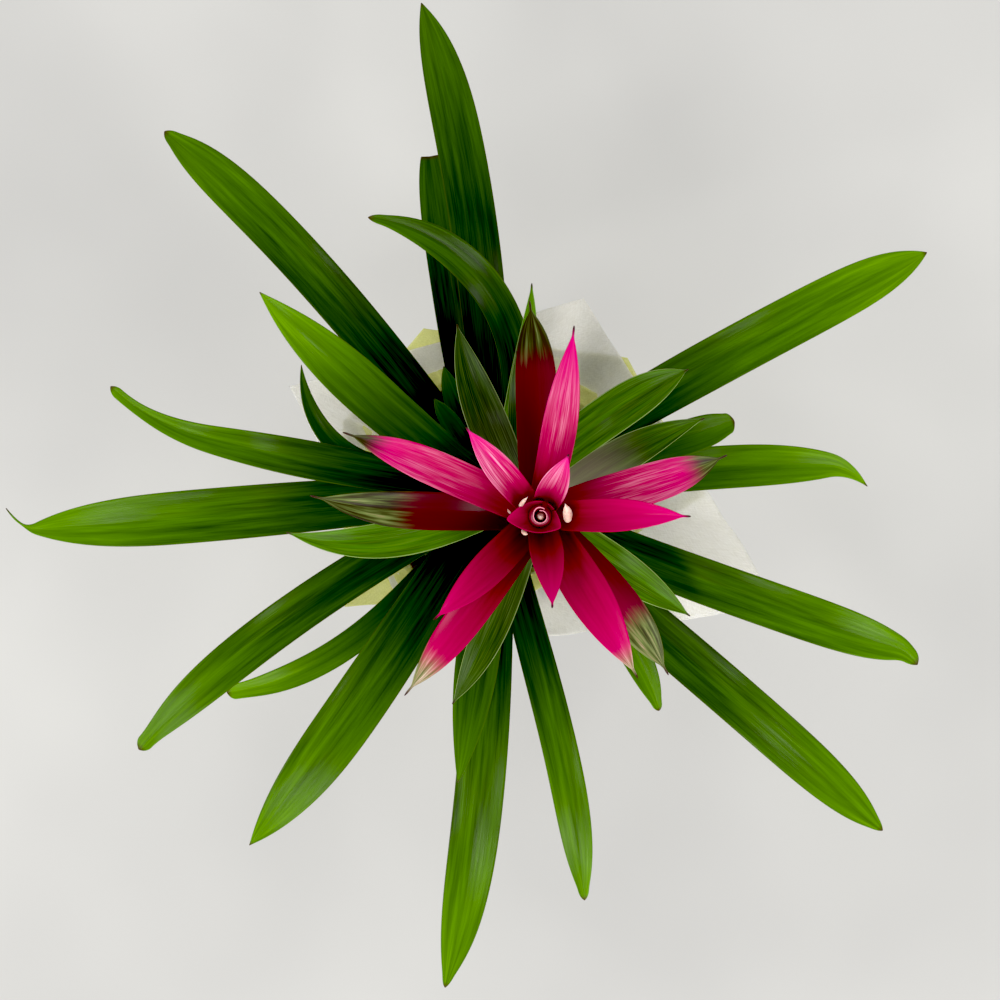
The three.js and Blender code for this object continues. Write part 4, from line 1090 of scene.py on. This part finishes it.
def wrap(name, corners, layer, material):
    """A grid bent into the gathered sheet. Its columns run round the pot, and its rows run from the floor
    up the wall and out to the edge. The map called cut is its place on the flat sheet, in metres."""
    select_only()
    bpy.ops.mesh.primitive_grid_add(x_subdivisions=WRAP_COLUMNS, y_subdivisions=WRAP_ROWS, size=2)
    piece = name_piece(name, material)
    mesh = piece.data
    lines = [sheet_line(layer, corners, column / WRAP_COLUMNS) for column in range(WRAP_COLUMNS + 1)]
    flat_places = []
    for vertex in mesh.vertices:
        column = round(0.5 * (vertex.co.x + 1) * WRAP_COLUMNS)
        share = round(0.5 * (vertex.co.y + 1) * WRAP_ROWS) / WRAP_ROWS
        vertex.co = gathered_place(*lines[column], column / WRAP_COLUMNS, share)
        angle = 2 * math.pi * column / WRAP_COLUMNS
        distance = FLAT_REACH * MM * share
        flat_places.append((0.5 + distance * math.cos(angle), 0.5 + distance * math.sin(angle)))
    layout = mesh.uv_layers.new(name="cut")
    for loop in mesh.loops:
        layout.data[loop.index].uv = flat_places[loop.vertex_index]
    bpy.ops.object.mode_set(mode="EDIT")
    bpy.ops.mesh.select_all(action="SELECT")
    bpy.ops.mesh.remove_doubles(threshold=0.02 * MM)
    bpy.ops.object.mode_set(mode="OBJECT")
    centre = bmesh.new()
    centre.from_mesh(mesh)
    hole = [e for e in centre.edges if e.is_boundary and max(v.co.xy.length for v in e.verts) < 5 * MM]
    bmesh.ops.holes_fill(centre, edges=hole)
    bmesh.ops.recalc_face_normals(centre, faces=centre.faces)
    centre.to_mesh(mesh)
    centre.free()
    thicken_and_smooth(piece, WRAP_THICKNESS, 0)
    return piece


inner_wrap = wrap("inner_sheet", INNER_CORNERS, 0, spunbond("yellow_green_nonwoven", "#dfe27c", "#e9eb96"))
place_piece(inner_wrap, "wrap_inner", "wrap_inner")
outer_wrap = wrap("outer_sheet", OUTER_CORNERS, 1, spunbond("off_white_nonwoven", "#fdf4e2", "#fffaf0"))
place_piece(outer_wrap, "wrap_outer", "wrap_outer")

# Raffia tie
# Three flat strands of dried palm fibre, wound once round both wraps under tension. Each strand is
# drawn as a closed loop, so their ends, twisted together and tucked under the turn, are not made.

RAFFIA_STRANDS = 3
RAFFIA_WIDTH = 2.4
RAFFIA_THICKNESS = 0.5
STRAND_BED = 1.35
STRAND_STEP = 0.3
STRAND_SEGMENTS = 200


def raffia():
    """Dried palm fibre: straw coloured, satin, with lengthwise splits."""
    material = new_material("raffia")
    fibre = grain(material, 0.25, 3.0, stretch=(0.15, 0.15, 1))
    tint = add_node(material, "ValToRGB", inputs={"Fac": fibre},
                    ramp=[(0.3, "#a37f48"), (0.55, "#c9a76c"), (0.75, "#ddc492")])
    relief = add_node(material, "Bump", inputs={"Height": fibre, "Strength": 0.5, "Distance": 0.1 * MM})
    return finish_material(material, {"Base Color": tint, "Roughness": 0.55, "Normal": relief})


tie_radius = pot_outside(TIE_HEIGHT) + WALL_GAP + TIE_WAVE + WRAP_SPACING
ring_radius = tie_radius + 2.2
strands = []
for strand in range(RAFFIA_STRANDS):
    select_only()
    bpy.ops.mesh.primitive_torus_add(
        major_segments=STRAND_SEGMENTS, minor_segments=8, major_radius=ring_radius * MM,
        minor_radius=0.5 * RAFFIA_WIDTH * MM, location=(0, 0, 0))
    loop = bpy.context.object
    for vertex in loop.data.vertices:
        angle = math.atan2(vertex.co.y, vertex.co.x)
        thin = (vertex.co.xy.length / MM - ring_radius) * RAFFIA_THICKNESS / RAFFIA_WIDTH
        wide = vertex.co.z / MM
        twist = 0.5 * math.sin(3 * angle + 2.1 * strand) + 0.25 * math.sin(11 * angle + strand)
        side = thin * math.cos(twist) + wide * math.sin(twist) * 0.35
        high = wide * math.cos(twist) - thin * math.sin(twist)
        bed = tie_radius + TIE_WAVE * math.sin(WRAP_WAVES * angle) + STRAND_BED + STRAND_STEP * strand
        drift = 1.5 * math.sin(2 * angle + 2.1 * strand) + 0.5 * math.sin(5 * angle + strand)
        away = bed + side
        vertex.co = Vector((away * math.cos(angle), away * math.sin(angle), TIE_HEIGHT + high + drift)) * MM
    strands.append(loop)
select_only(*strands)
bpy.ops.object.join()
tie = name_piece("raffia_winding", raffia())
bpy.ops.object.shade_smooth()
place_piece(tie, "raffia", "raffia_tie")

bpy.context.view_layer.update()
